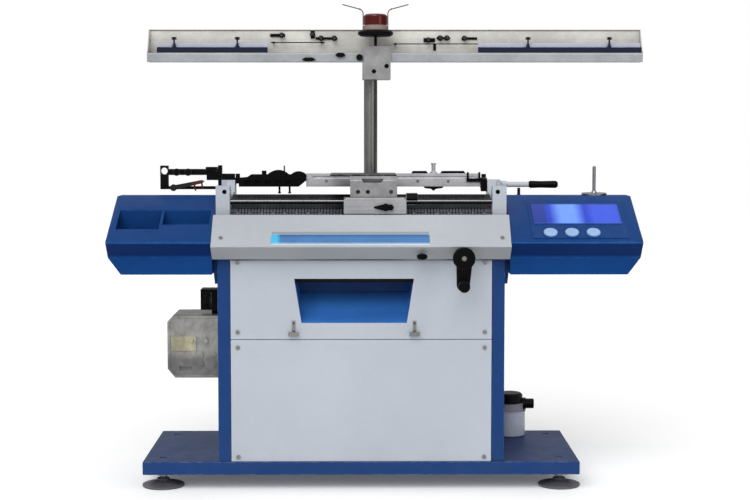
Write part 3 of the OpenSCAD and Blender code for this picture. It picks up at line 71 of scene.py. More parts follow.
def put(tree, kind, feeds=None, **settings):
    """Adds a node to a tree. Feeds maps its sockets to outputs of other nodes or to plain values."""
    made = tree.nodes.new(kind)
    for key, value in settings.items():
        setattr(made, key, value)
    for socket, value in (feeds or {}).items():
        if isinstance(value, bpy.types.NodeSocket):
            tree.links.new(value, made.inputs[socket])
        else:
            made.inputs[socket].default_value = value
    return made


def math_of(tree, operation, *values, clamp=False):
    return put(tree, "ShaderNodeMath", dict(enumerate(values)), operation=operation,
               use_clamp=clamp).outputs[0]


def ramp_of(tree, value, start, end, low=0.0, high=1.0):
    """A smooth step from low to high as value goes from start to end."""
    return put(tree, "ShaderNodeMapRange", {0: value, 1: start, 2: end, 3: low, 4: high},
               interpolation_type="SMOOTHSTEP").outputs[0]


def mix_of(tree, share, first, second, blend="MIX"):
    return put(tree, "ShaderNodeMix", {0: share, 6: first, 7: second}, data_type="RGBA",
               blend_type=blend).outputs[2]


def place_of(tree, stretch=(1.0, 1.0, 1.0)):
    """The point on the piece in metres, stretched along each axis."""
    at = put(tree, "ShaderNodeTexCoord").outputs["Object"]
    return put(tree, "ShaderNodeMapping", {"Vector": at, "Scale": stretch}).outputs[0]


def noise_of(tree, at, scale, detail=3.0, rough=0.55, seed=0.0):
    return put(tree, "ShaderNodeTexNoise", {"Vector": at, "W": seed, "Scale": scale, "Detail": detail,
                                            "Roughness": rough}, noise_dimensions="4D").outputs[0]


KINDS = {"float": "NodeSocketFloat", "colour": "NodeSocketColor", "vector": "NodeSocketVector"}


def shader_group(name, inputs, outputs):
    """An empty effect with named inputs, as name: (kind, default), and outputs, as name: kind."""
    tree = bpy.data.node_groups.new(name, "ShaderNodeTree")
    for label, (kind, default) in inputs.items():
        tree.interface.new_socket(name=label, in_out="INPUT", socket_type=KINDS[kind]).default_value = default
    for label, kind in outputs.items():
        tree.interface.new_socket(name=label, in_out="OUTPUT", socket_type=KINDS[kind])
    return tree, tree.nodes.new("NodeGroupInput").outputs, tree.nodes.new("NodeGroupOutput").inputs


WHITE = (1.0, 1.0, 1.0, 1.0)
GREY = (0.5, 0.5, 0.5, 1.0)


def make_uneven_colour():
    """Slow changes of shade, as sprayed or cast surfaces have."""
    tree, given, out = shader_group("uneven colour", {"Colour": ("colour", GREY), "Scale": ("float", 4.0),
                                                      "Amount": ("float", 0.1)},
                                    {"Colour": "colour", "Mask": "float"})
    at = place_of(tree)
    slow = noise_of(tree, at, given["Scale"], 4.0, 0.6, 1.3)
    fine = noise_of(tree, at, 90.0, 2.0, 0.5, 4.1)
    mask = ramp_of(tree, math_of(tree, "MULTIPLY_ADD", fine, 0.25, slow), 0.4, 0.85)
    swing = math_of(tree, "MULTIPLY", math_of(tree, "SUBTRACT", mask, 0.5), given["Amount"])
    shade = math_of(tree, "MULTIPLY_ADD", swing, 2.0, 1.0)
    made = put(tree, "ShaderNodeHueSaturation", {"Value": shade, "Color": given["Colour"]})
    tree.links.new(made.outputs[0], out["Colour"])
    tree.links.new(mask, out["Mask"])
    return tree


def make_paint_skin():
    """The fine orange peel of sprayed paint, with a slow waviness under it."""
    tree, given, out = shader_group("paint skin", {"Scale": ("float", 260.0), "Wave": ("float", 0.3)},
                                    {"Height": "float"})
    at = place_of(tree)
    peel = noise_of(tree, at, given["Scale"], 1.5, 0.5, 2.2)
    wave = noise_of(tree, at, 9.0, 1.0, 0.5, 7.7)
    tree.links.new(math_of(tree, "MULTIPLY_ADD", wave, given["Wave"], peel), out["Height"])
    return tree


def make_rubbed_edges():
    """Edges where paint is rubbed thin: read from the edge mark that softened pieces carry."""
    tree, given, out = shader_group("rubbed edges", {"Colour": ("colour", GREY), "Bare": ("colour", WHITE),
                                                     "Amount": ("float", 0.5)},
                                    {"Colour": "colour", "Mask": "float"})
    edge = put(tree, "ShaderNodeAttribute", attribute_name="edge").outputs["Fac"]
    patches = ramp_of(tree, noise_of(tree, place_of(tree), 38.0, 5.0, 0.65, 3.0), 0.38, 0.68)
    mask = math_of(tree, "MULTIPLY", math_of(tree, "MULTIPLY", edge, patches), given["Amount"])
    tree.links.new(mix_of(tree, mask, given["Colour"], given["Bare"]), out["Colour"])
    tree.links.new(mask, out["Mask"])
    return tree


def make_dust_and_tone_effect():
    """Lint and dust on faces that look up. Given a dark or a bluer colour in place of dust, it lays painted
    shade or painted light on those faces.
    """
    tree, given, out = shader_group("dust and top tone", {"Colour": ("colour", GREY), "Dust": ("colour", WHITE),
                                                     "Amount": ("float", 0.2)},
                                    {"Colour": "colour", "Mask": "float"})
    normal = put(tree, "ShaderNodeNewGeometry").outputs["Normal"]
    upward = put(tree, "ShaderNodeSeparateXYZ", {0: normal}).outputs[2]
    ledge = ramp_of(tree, upward, 0.45, 0.95)
    clumps = ramp_of(tree, noise_of(tree, place_of(tree), 26.0, 6.0, 0.7, 8.0), 0.3, 0.75)
    mask = math_of(tree, "MULTIPLY", math_of(tree, "MULTIPLY", ledge, clumps), given["Amount"])
    tree.links.new(mix_of(tree, mask, given["Colour"], given["Dust"]), out["Colour"])
    tree.links.new(mask, out["Mask"])
    return tree


def make_floor_grime():
    """Scuffs and mop marks that get stronger towards the floor."""
    tree, given, out = shader_group("floor grime", {"Colour": ("colour", GREY), "Grime": ("colour", GREY),
                                                    "Top": ("float", 0.3), "Amount": ("float", 0.3)},
                                    {"Colour": "colour", "Mask": "float"})
    at = place_of(tree)
    height = put(tree, "ShaderNodeSeparateXYZ", {0: at}).outputs[2]
    low = math_of(tree, "SUBTRACT", 1.0, ramp_of(tree, height, 0.0, given["Top"]))
    scuffs = ramp_of(tree, noise_of(tree, at, 14.0, 6.0, 0.68, 5.5), 0.35, 0.7)
    mask = math_of(tree, "MULTIPLY", math_of(tree, "MULTIPLY", low, scuffs), given["Amount"])
    tree.links.new(mix_of(tree, mask, given["Colour"], given["Grime"]), out["Colour"])
    tree.links.new(mask, out["Mask"])
    return tree


def make_grain_lines():
    """Lines left by drawing, turning or grinding, long along one axis."""
    tree, given, out = shader_group("grain lines", {"Stretch": ("vector", (1.0, 1.0, 1.0)),
                                                    "Scale": ("float", 300.0)},
                                    {"Height": "float", "Value": "float"})
    at = put(tree, "ShaderNodeTexCoord").outputs["Object"]
    long = put(tree, "ShaderNodeMapping", {"Vector": at, "Scale": given["Stretch"]}).outputs[0]
    lines = noise_of(tree, long, given["Scale"], 3.0, 0.6, 6.0)
    tree.links.new(lines, out["Height"])
    tree.links.new(ramp_of(tree, lines, 0.3, 0.7), out["Value"])
    return tree


def make_cast_skin():
    """The grainy skin of cast metal, with small pits."""
    tree, given, out = shader_group("cast skin", {"Scale": ("float", 220.0), "Pits": ("float", 0.4)},
                                    {"Height": "float", "Value": "float"})
    at = place_of(tree)
    grain = noise_of(tree, at, given["Scale"], 4.0, 0.65, 9.0)
    cells = put(tree, "ShaderNodeTexVoronoi", {"Vector": at,
                                               "Scale": math_of(tree, "MULTIPLY", given["Scale"], 0.35)})
    pit = math_of(tree, "MULTIPLY", ramp_of(tree, cells.outputs[0], 0.22, 0.0), given["Pits"])
    tree.links.new(math_of(tree, "SUBTRACT", grain, pit), out["Height"])
    tree.links.new(ramp_of(tree, noise_of(tree, at, 24.0, 5.0, 0.7, 2.5), 0.3, 0.7), out["Value"])
    return tree


def make_handled_gloss():
    """Roughness that wanders slowly over a surface."""
    tree, given, out = shader_group("handled gloss", {"Roughness": ("float", 0.4), "Spread": ("float", 0.1),
                                                      "Scale": ("float", 7.0)}, {"Roughness": "float"})
    smear = noise_of(tree, place_of(tree, (1.0, 1.0, 0.45)), given["Scale"], 5.0, 0.62, 0.6)
    swing = math_of(tree, "MULTIPLY", math_of(tree, "SUBTRACT", smear, 0.5), given["Spread"])
    tree.links.new(math_of(tree, "MULTIPLY_ADD", swing, 3.0, given["Roughness"], clamp=True),
                   out["Roughness"])
    return tree


def make_stripe():
    """A stripe between two values of a measure, with soft sides inside them."""
    tree, given, out = shader_group("stripe", {"Measure": ("float", 0.0), "Low": ("float", 0.0),
                                               "High": ("float", 1.0),
                                               "Soft": ("float", 0.002)}, {"Mask": "float"})
    rise = math_of(tree, "DIVIDE", math_of(tree, "SUBTRACT", given["Measure"], given["Low"]), given["Soft"],
                   clamp=True)
    fall = math_of(tree, "DIVIDE", math_of(tree, "SUBTRACT", given["High"], given["Measure"]), given["Soft"],
                   clamp=True)
    tree.links.new(math_of(tree, "MULTIPLY", rise, fall), out["Mask"])
    return tree


EFFECTS = {tree.name: tree for tree in (
    make_uneven_colour(), make_paint_skin(), make_rubbed_edges(), make_dust_and_tone_effect(), make_floor_grime(),
    make_grain_lines(), make_cast_skin(), make_handled_gloss(), make_stripe())}


def effect(tree, name, **feeds):
    """Places a shared effect in a material."""
    made = put(tree, "ShaderNodeGroup", node_tree=EFFECTS[name])
    for label, value in feeds.items():
        socket = made.inputs[label]
        if isinstance(value, bpy.types.NodeSocket):
            tree.links.new(value, socket)
        else:
            socket.default_value = value
    return made.outputs


class Finish:
    """One material in the making: colour layers first, then gloss and relief."""

    def __init__(self, name, colour, metallic=0.0, coat=0.0, specular=0.25):
        self.made = bpy.data.materials.new(name)
        self.made.use_nodes = True
        self.tree = self.made.node_tree
        self.shader = self.tree.nodes["Principled BSDF"]
        self.shader.inputs["Metallic"].default_value = metallic
        self.shader.inputs["Coat Weight"].default_value = coat
        self.shader.inputs["Coat Roughness"].default_value = 0.12
        self.shader.inputs["Specular IOR Level"].default_value = specular
        self.colour = colour
        self.made.diffuse_color = colour

    def layer(self, name, **values):
        self.colour = effect(self.tree, name, Colour=self.colour, **values)["Colour"]
        return self

    def uneven(self, amount=0.08, scale=4.0):
        return self.layer("uneven colour", Amount=amount, Scale=scale)

    def rubbed(self, bare, amount=0.5):
        return self.layer("rubbed edges", Bare=bare, Amount=amount)

    def dust_and_top_tone(self, dust, amount=0.2):
        return self.layer("dust and top tone", Dust=dust, Amount=amount)

    def grimy(self, grime, top=0.3, amount=0.3):
        return self.layer("floor grime", Grime=grime, Top=top, Amount=amount)

    def stripe(self, axis, low, high, soft):
        measure = put(self.tree, "ShaderNodeSeparateXYZ", {0: place_of(self.tree)}).outputs["XYZ".index(axis)]
        return effect(self.tree, "stripe", Measure=measure, Low=low, High=high, Soft=soft)["Mask"]

    def banded(self, colour, axis, low, high, soft=0.001, share=1.0, within=()):
        """Paints a stripe across one axis of the piece, kept within stripes given as (axis, low, high)."""
        mask = self.stripe(axis, low, high, soft)
        for fence in within:
            mask = math_of(self.tree, "MULTIPLY", mask, self.stripe(*fence, soft))
        if share < 1:
            mask = math_of(self.tree, "MULTIPLY", mask, share)
        self.colour = mix_of(self.tree, mask, self.colour, colour)
        return self

    def shaded_by(self, value, dark, light):
        """Multiplies the colour by something between dark and light, as value goes from 0 to 1."""
        shade = put(self.tree, "ShaderNodeMapRange", {0: value, 3: dark, 4: light}).outputs[0]
        self.colour = put(self.tree, "ShaderNodeHueSaturation",
                          {"Value": shade, "Color": self.colour}).outputs[0]
        return self

    def gloss(self, roughness, spread=0.08, scale=7.0):
        rough = effect(self.tree, "handled gloss", Roughness=roughness, Spread=spread,
                       Scale=scale)["Roughness"]
        self.tree.links.new(rough, self.shader.inputs["Roughness"])
        return self

    def relief(self, height, depth, strength=0.4):
        bump = put(self.tree, "ShaderNodeBump", {"Strength": strength, "Distance": depth, "Height": height})
        self.tree.links.new(bump.outputs[0], self.shader.inputs["Normal"])
        return self

    def done(self):
        if isinstance(self.colour, bpy.types.NodeSocket):
            self.tree.links.new(self.colour, self.shader.inputs["Base Color"])
        else:
            self.shader.inputs["Base Color"].default_value = self.colour
        return self.made


# ------------------------------------------------------------------ finishes

DUST = paint(205, 203, 198)
# A dark blue laid on faces that look up, as painted shade on the tops.
DARK_TOP_SHADE = paint(8, 20, 46)
SCUFF = paint(70, 70, 74)
PRIMER = paint(120, 135, 165)
BARE_STEEL = paint(165, 166, 168)


def skin(finish, scale=260.0, wave=0.3):
    return effect(finish.tree, "paint skin", Scale=scale, Wave=wave)["Height"]


def sprayed(name, colour, roughness=0.42, coat=0.08, bare=PRIMER, worn=0.35, dust=0.1, top_colour=DUST, mottle=0.07,
            specular=0.25):
    made = Finish(name, colour, coat=coat, specular=specular)
    made.uneven(mottle).rubbed(bare, worn).dust_and_top_tone(top_colour, dust).grimy(SCUFF, 0.22, 0.12).gloss(roughness)
    return made.relief(skin(made), 0.0004, 0.25)


def frame_blue():
    # Faces that look up get a dark blue through the dust layer: painted shade on the tops.
    return sprayed("frame blue paint", paint(22, 54, 104), coat=0.0, dust=0.75, top_colour=DARK_TOP_SHADE,
                   specular=0.1).done()


def console_blue():
    """Blue paint, with painted shade as a navy band along the front, a painted highlight as a pale line at
    the lip, and a lighter blue painted on faces that look up as light on them; the handle's rest post is
    black.
    """
    front, ridge = edges_of("left_console")[1][0], edges_of("left_console")[2][1]
    lip = edges_of("display_panel")[2][0] - 0.004
    front_shade_low, front_shade_high = lip - 0.046, lip - 0.009
    fence = [("Y", front - 0.01, front + 0.05)]
    made = Finish("console blue paint", paint(8, 52, 106), specular=0.06)
    # Painted shade: a navy band along the front, below the lip.
    made.banded(paint(2, 34, 84), "Z", front_shade_low, front_shade_high, 0.0015, within=fence)
    # Painted highlight: a pale line just under the lip.
    made.banded(paint(50, 100, 164), "Z", front_shade_high + 0.0005, front_shade_high + 0.0035, 0.001, 0.5, within=fence)
    made.banded(paint(14, 14, 16), "Z", ridge + 0.0008, ridge + 0.2, 0.0005)
    # The dust layer here lays a lighter blue on faces that look up, as painted light.
    made.uneven(0.09).rubbed(paint(66, 104, 158), 0.2).dust_and_top_tone(paint(14, 60, 122), 0.5).gloss(0.44)
    return made.relief(skin(made), 0.0004, 0.25).done()


def chute_blue():
    """The chute's blue, painted brighter as light on its floor, with painted shade along the front and a
    painted shadow deep in the throat.
    """
    depth = edges_of("glove_chute")[1]
    made = Finish("chute blue paint", paint(56, 116, 194), specular=0.1)
    # Painted shade along the front.
    made.banded(paint(36, 82, 146), "Y", depth[0] - 0.03, depth[0] + 0.1, 0.08)
    # Painted shadow deep in the throat.
    made.banded(paint(8, 36, 88), "Y", depth[0] + 0.152, depth[1] + 0.2, 0.006, 0.95)
    made.uneven(0.1, 7.0).rubbed(PRIMER, 0.3).gloss(0.4)
    return made.relief(skin(made), 0.0004, 0.25).done()


def panel_white():
    made = Finish("panel white paint", paint(163, 169, 178), coat=0.05, specular=0.2)
    made.uneven(0.05, 2.5).rubbed(paint(140, 146, 158), 0.35).dust_and_top_tone(DUST, 0.04)
    made.grimy(paint(120, 122, 128), 0.26, 0.16).gloss(0.38)
    return made.relief(skin(made, 240.0, 0.5), 0.0005, 0.25).done()


def casing_white():
    """The casing's white, with a painted shadow as a grey line above the coloured strip, a pale line below
    it, and painted shade on the bevel below the strip.
    """
    x, y, z = edges_of("casing_strip")
    ends = [("X", x[0], x[1])]
    made = Finish("casing white paint", paint(162, 167, 173), coat=0.05, specular=0.2)
    # Painted shadow: a grey line above the strip.
    made.banded(paint(120, 126, 136), "Z", z[1], z[1] + 0.008, 0.002, 0.7, within=ends)
    made.banded(paint(205, 212, 220), "Z", z[0] - 0.003, z[0], 0.001, 0.8, within=ends)
    # Painted shade on the bevel below the strip.
    made.banded(paint(136, 139, 142), "Z", z[0] - 0.1, z[0] - 0.0095, 0.001, 0.8)
    made.uneven(0.06, 3.0).rubbed(paint(140, 146, 158), 0.4).dust_and_top_tone(DUST, 0.04).gloss(0.4)
    return made.relief(skin(made, 240.0, 0.5), 0.0005, 0.25).done()


def beam_grey():
    x, y, z = edges_of("yarn_beam")
    tall = z[1] - z[0]
    made = Finish("beam grey paint", paint(192, 190, 184), coat=0.03, specular=0.18)
    made.banded(paint(143, 147, 151), "Z", z[0] - 0.01, z[0] + 0.28 * tall, 0.006)
    made.banded(paint(96, 104, 106), "Z", z[0] + 0.25 * tall, z[0] + 0.3 * tall, 0.002, 0.8)
    made.banded(paint(108, 100, 96), "Z", z[1] - 0.005, z[1] + 0.01, 0.002, 0.7)
    made.banded(paint(160, 158, 156), "Z", z[0] + 0.68 * tall, z[0] + 0.71 * tall, 0.002, 0.5)
    made.uneven(0.16, 9.0).rubbed(paint(110, 108, 104), 0.5).dust_and_top_tone(DUST, 0.1).gloss(0.46, 0.12)
    return made.relief(skin(made, 200.0, 0.6), 0.0005, 0.3).done()


def plate_metal(name, colour, stretch, roughness=0.32, metallic=1.0, lines=0.12, scale=220.0, tarnish=0.12,
                bands=()):
    """Ground, drawn or turned metal with its lines along one way, and bands of other shades across it."""
    made = Finish(name, colour, metallic=metallic)
    for band in bands:
        made.banded(*band)
    line = effect(made.tree, "grain lines", Stretch=stretch, Scale=scale)
    made.uneven(tarnish, 12.0).shaded_by(line["Value"], 1 - lines, 1 + lines * 0.5)
    made.rubbed(paint(215, 216, 218), 0.5).dust_and_top_tone(DUST, 0.04).gloss(roughness, 0.12, 18.0)
    return made.relief(line["Height"], 0.0002, 0.25)


def cast_metal(name, colour, metallic, roughness, scale=220.0, worn=0.5, bare=BARE_STEEL, dust=0.06,
               swing=0.18,
               bands=()):
    made = Finish(name, colour, metallic=metallic)
    for band in bands:
        made.banded(*band)
    crust = effect(made.tree, "cast skin", Scale=scale, Pits=0.4)
    made.uneven(0.12, 8.0).shaded_by(crust["Value"], 1 - swing, 1 + swing * 0.6)
    made.rubbed(bare, worn).dust_and_top_tone(DUST, dust)
    return made.gloss(roughness, 0.14, 14.0).relief(crust["Height"], 0.0006, 0.35)


def moulded(name, colour, roughness=0.42, grain=420.0, coat=0.0, worn=0.35, bare=paint(110, 110, 112),
            dust=0.05,
            specular=0.25, bands=()):
    """Moulded plastic with a fine spark-eroded grain."""
    made = Finish(name, colour, coat=coat, specular=specular)
    for band in bands:
        made.banded(*band)
    made.uneven(0.06, 14.0).rubbed(bare, worn).dust_and_top_tone(DUST, dust).gloss(roughness, 0.08, 30.0)
    return made.relief(skin(made, grain, 0.1), 0.0003, 0.35)


def rod_bands():
    """The rods are painted dark as a painted reflection of their surroundings, with one painted highlight
    along them above the middle.
    """
    y, z = edges_of("guide_rods")[1:]
    middle = (z[0] + z[1]) / 2
    return [(paint(128, 129, 134), "Z", middle + 0.001, middle + 0.0038, 0.001, 0.9)]


def bed_bands():
    """A painted highlight: a grey band along the beds, at the casing's top edge."""
    z = edges_of("head_casing")[2][1]
    return [(paint(100, 101, 112), "Z", z - 0.006, z + 0.013, 0.003, 0.8)]


def mast_bands():
    """Two upright bands of shade that round off the mast's flat front."""
    x = edges_of("mast")[0]
    wide = x[1] - x[0]
    return [(paint(66, 66, 64), "X", x[0] + 0.66 * wide, x[0] + 0.93 * wide, 0.004, 0.75),
            (paint(90, 90, 88), "X", x[0] - 0.01, x[0] + 0.1 * wide, 0.003, 0.6)]


def bridge_bands():
    """The bridge's feeder plate is blackened."""
    z = edges_of("carriage_bridge")[2]
    return [(paint(16, 16, 17), "Z", z[1] - 0.0052, z[1] + 0.01, 0.0003)]


def buffer_bands():
    """The rubber buffer at the carriage's right end is black."""
    x = edges_of("carriage_cover")[0]
    return [(paint(15, 15, 16), "X", x[1] + 0.0005, x[1] + 0.2, 0.0005)]


def handle_bands():
    """The handle's link is bare metal; its grip is black."""
    x = edges_of("rail_handle")[0]
    return [(paint(176, 178, 184), "X", x[0] - 0.01, x[1] - 0.0865, 0.001)]


def arm_bands():
    """The arm is black up to its two thread fingers."""
    x = edges_of("feed_arm")[0]
    return [(paint(12, 12, 13), "X", x[0] - 0.01, x[1] - 0.036, 0.004)]


def strip_bands():
    """The bars are navy; the thin strip that stands behind each is pale."""
    z = edges_of("beam_strips")[2]
    return [(paint(170, 173, 190), "Z", z[1] - 0.0128, z[1] + 0.01, 0.0005)]


def cover_bands():
    """The control box is greyer low down, with a plain yellowed plate on its cover."""
    x, y, z = edges_of("control_box_cover")
    wide, tall = x[1] - x[0], z[1] - z[0]
    plate = [("Z", z[0] + 0.42 * tall, z[0] + 0.68 * tall), ("Y", y[0] - 0.01, y[0] + 0.02)]
    return [(paint(96, 96, 96), "Z", z[0] - 0.01, z[0] + 0.4 * tall, 0.02, 0.8),
            (paint(170, 162, 122), "X", x[0] + 0.06 * wide, x[0] + 0.54 * wide, 0.006, 0.6, plate)]


def lid_bands():
    """The lid's skirt is grey, up to its black neck."""
    x, y, z = edges_of("vacuum_lid")
    skirt = z[0] + 0.42 * (z[1] - z[0])
    return [(paint(120, 118, 130), "Z", z[0] - 0.01, skirt, 0.0008, 1.0, [("X", x[0] - 0.01, x[1] - 0.034)])]


def screen_glass():
    """A lit display with painted shade at its left edge, a painted highlight left of the middle, a deeper
    blue on the right, a pale line along the bottom and a dark one along the top; no writing.
    """
    x, y, z = edges_of("lcd_screen")
    wide, tall = x[1] - x[0], z[1] - z[0]
    made = Finish("lit screen", paint(20, 56, 176), coat=0.04, specular=0.15)
    made.banded(paint(14, 44, 132), "X", x[0] - 0.01, x[0] + 0.18 * wide, 0.01)
    made.banded(paint(112, 156, 244), "X", x[0] + 0.2 * wide, x[0] + 0.6 * wide, 0.03, 0.75)
    made.banded(paint(46, 76, 196), "X", x[0] + 0.62 * wide, x[1] + 0.01, 0.02)
    made.banded(paint(150, 182, 240), "Z", z[0], z[0] + 0.1 * tall, 0.004, 0.5)
    made.banded(paint(24, 40, 116), "Z", z[1] - 0.06 * tall, z[1] + 0.01, 0.003, 0.7)
    made.uneven(0.06, 30.0).gloss(0.2, 0.04)
    glow = made.colour
    made.tree.links.new(glow, made.shader.inputs["Emission Color"])
    made.shader.inputs["Emission Strength"].default_value = 0.16
    return made.relief(skin(made, 600.0, 0.1), 0.0001, 0.1).done()


def membrane_film():
    made = Finish("keypad film", paint(6, 52, 110), specular=0.06)
    made.uneven(0.07, 20.0).dust_and_top_tone(DUST, 0.02).gloss(0.42)
    return made.relief(skin(made, 700.0, 0.1), 0.0002, 0.3).done()


def strip_film():
    """The plain coloured strip on the casing, lighter at its lower edge."""
    x, y, z = edges_of("casing_strip")
    tall = z[1] - z[0]
    wide = x[1] - x[0]
    made = Finish("casing strip film", paint(62, 110, 160), coat=0.06)
    made.banded(paint(34, 74, 128), "Z", z[0] + 0.62 * tall, z[1] + 0.01, 0.006, 0.6)
    made.banded(paint(60, 176, 214), "X", x[0] - 0.01, x[0] + 0.06 * wide, 0.01, 0.8)
    made.banded(paint(190, 216, 234), "Z", z[0] - 0.01, z[0] + 0.16 * tall, 0.004, 0.7)
    made.uneven(0.1, 16.0).dust_and_top_tone(DUST, 0.03).gloss(0.32)
    return made.relief(skin(made, 500.0, 0.2), 0.0002, 0.3).done()


def lens_plastic():
    made = Finish("red lens", paint(74, 8, 6), coat=0.15)
    ribs = effect(made.tree, "grain lines", Stretch=(1.0, 1.0, 0.02), Scale=260.0)
    made.uneven(0.12, 40.0).shaded_by(ribs["Value"], 0.7, 1.1).dust_and_top_tone(DUST, 0.05).gloss(0.24, 0.05)
    made.shader.inputs["Subsurface Weight"].default_value = 0.15
    made.shader.inputs["Subsurface Radius"].default_value = (0.006, 0.001, 0.001)
    return made.relief(ribs["Height"], 0.0006, 0.4).done()


ALONG_X, ALONG_Y, ALONG_Z = (0.02, 1.0, 1.0), (1.0, 0.02, 1.0), (1.0, 1.0, 0.02)

BLACK = paint(9, 9, 11)
FINISHES = {
    "blue_paint": frame_blue(),
    "console_blue": console_blue(),
    "white_paint": panel_white(),
    "bed_iron": cast_metal("bed iron", paint(18, 19, 22), 0.4, 0.55, worn=0.25, bands=bed_bands()).done(),
    "needle_steel": plate_metal("needle steel", paint(26, 27, 31), ALONG_Y, 0.46).done(),
    "bright_steel": plate_metal("bright steel", paint(140, 141, 148), ALONG_Z, 0.24, lines=0.06).done(),
    "mast_steel": plate_metal("bright fittings", paint(132, 132, 130), ALONG_Z, 0.26).done(),
    "foot_dark": cast_metal("foot iron", paint(88, 88, 94), 0.3, 0.5, dust=0.05).done(),
    "strip_blue": strip_film(),
    "membrane": membrane_film(),
    "screen": screen_glass(),
    "button_cap": moulded("button caps", paint(138, 168, 208), 0.4, coat=0.1, worn=0.2, dust=0.02).done(),
    "rail_grey": plate_metal("carriage cover aluminium", paint(158, 158, 161), ALONG_X, 0.4,
                             metallic=0.6).done(),
    "carriage_iron": cast_metal("carriage casting", paint(128, 128, 131), 0.6, 0.42,
                                bands=buffer_bands()).done(),
    "black_metal": sprayed("black enamel", BLACK, 0.44, 0.0, BARE_STEEL, 0.25, 0.01, specular=0.05).done(),
    "arm_red": sprayed("dark red enamel", paint(72, 20, 18), 0.4, 0.1, BARE_STEEL, 0.3, 0.02).done(),
    "black_plastic": moulded("black plastic", paint(6, 6, 7), 0.4, 320.0, worn=0.12, dust=0.01,
                             specular=0.05).done(),
    "belt_rubber": moulded("belt rubber", paint(18, 18, 19), 0.7, 260.0, dust=0.1).done(),
    "beam_paint": beam_grey(),
    "bar_navy": sprayed("navy enamel", paint(16, 22, 44), 0.4, 0.0, worn=0.2, dust=0.0, specular=0.12).done(),
    "lamp_beige": moulded("lamp socket", paint(132, 115, 108), 0.44, worn=0.1, dust=0.03).done(),
    "lens_red": lens_plastic(),
    "cast_aluminium": cast_metal("cast aluminium", paint(140, 139, 136), 0.5, 0.46, 160.0, swing=0.3,
                                 bands=cover_bands()).done(),
    "can_grey": sprayed("can grey paint", paint(158, 164, 178), 0.34, 0.2, paint(110, 110, 115),
                        dust=0.04).done(),
}

# Nodes whose finish differs from the rest of their slot
OWN_FINISHES = {
    "glove_chute": chute_blue(),
    "head_casing": casing_white(),
    "mast": plate_metal("mast tube", paint(128, 128, 125), ALONG_Z, 0.3, bands=mast_bands()).done(),
    # The rod steel is painted dark as a painted reflection, and its bright line is a painted highlight.
    "guide_rods": plate_metal("guide rod steel", paint(38, 39, 42), ALONG_X, 0.3, lines=0.05,
                              bands=rod_bands()).done(),
    "top_rail": plate_metal("rail aluminium", paint(176, 176, 180), ALONG_X, 0.4, metallic=0.5).done(),
    "beam_clamp": cast_metal("clamp casting", paint(132, 132, 133), 0.4, 0.5, worn=0.4).done(),
    "carriage_bridge": cast_metal("bridge casting", paint(132, 132, 134), 0.55, 0.42,
                                  bands=bridge_bands()).done(),
    "rail_handle": moulded("handle", paint(6, 6, 7), 0.4, worn=0.12, dust=0.01, specular=0.06,
                           bands=handle_bands()).done(),
    "feed_arm": moulded("feed arm", paint(74, 22, 20), 0.42, worn=0.15, dust=0.02, bands=arm_bands()).done(),
    "vacuum_lid": moulded("can lid", paint(7, 7, 8), 0.4, worn=0.15, dust=0.01, specular=0.08,
                          bands=lid_bands()).done(),
    "beam_strips": moulded("beam bars", paint(22, 27, 46), 0.42, worn=0.1, dust=0.0, specular=0.12,
                           bands=strip_bands()).done(),
}


def finish_of(node):
    return OWN_FINISHES.get(node) or FINISHES[SLOT_OF[node]]


for name, thing in NODES.items():
    thing.data.materials.clear()
    thing.data.materials.append(finish_of(name))


# ------------------------------------------------------------------ softened sheet metal and castings

def as_plain_mesh(thing):
    """The piece's shape with its modifiers worked in, in place of the piece's own mesh."""
    graph = bpy.context.evaluated_depsgraph_get()
    baked = bpy.data.meshes.new_from_object(thing.evaluated_get(graph), preserve_all_data_layers=True,
                                            depsgraph=graph)
    thing.modifiers.clear()
    thing.data = baked
    return thing


def rest_on(thing, node):
    """Gives a finished piece the body of the node that it belongs with."""
    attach(thing, BODY_OF[node])
    return thing


def steady_normals(mesh, together=50.0):
    """Sets corner normals from the faces round each point, larger ones counting more."""
    limit = math.cos(math.radians(together))
    faces = mesh.polygons
    round_point = [[] for _ in mesh.vertices]
    for face in faces:
        for point in face.vertices:
            round_point[point].append(face.index)
    normals, sizes = [face.normal.copy() for face in faces], [face.area for face in faces]
    corners = []
    for face in faces:
        for point in face.vertices:
            total = Vector()
            for other in round_point[point]:
                if normals[other].dot(normals[face.index]) > limit:
                    total += normals[other] * sizes[other]
            corners.append(total.normalized() if total.length > 0 else normals[face.index])
    mesh.normals_split_custom_set(corners)


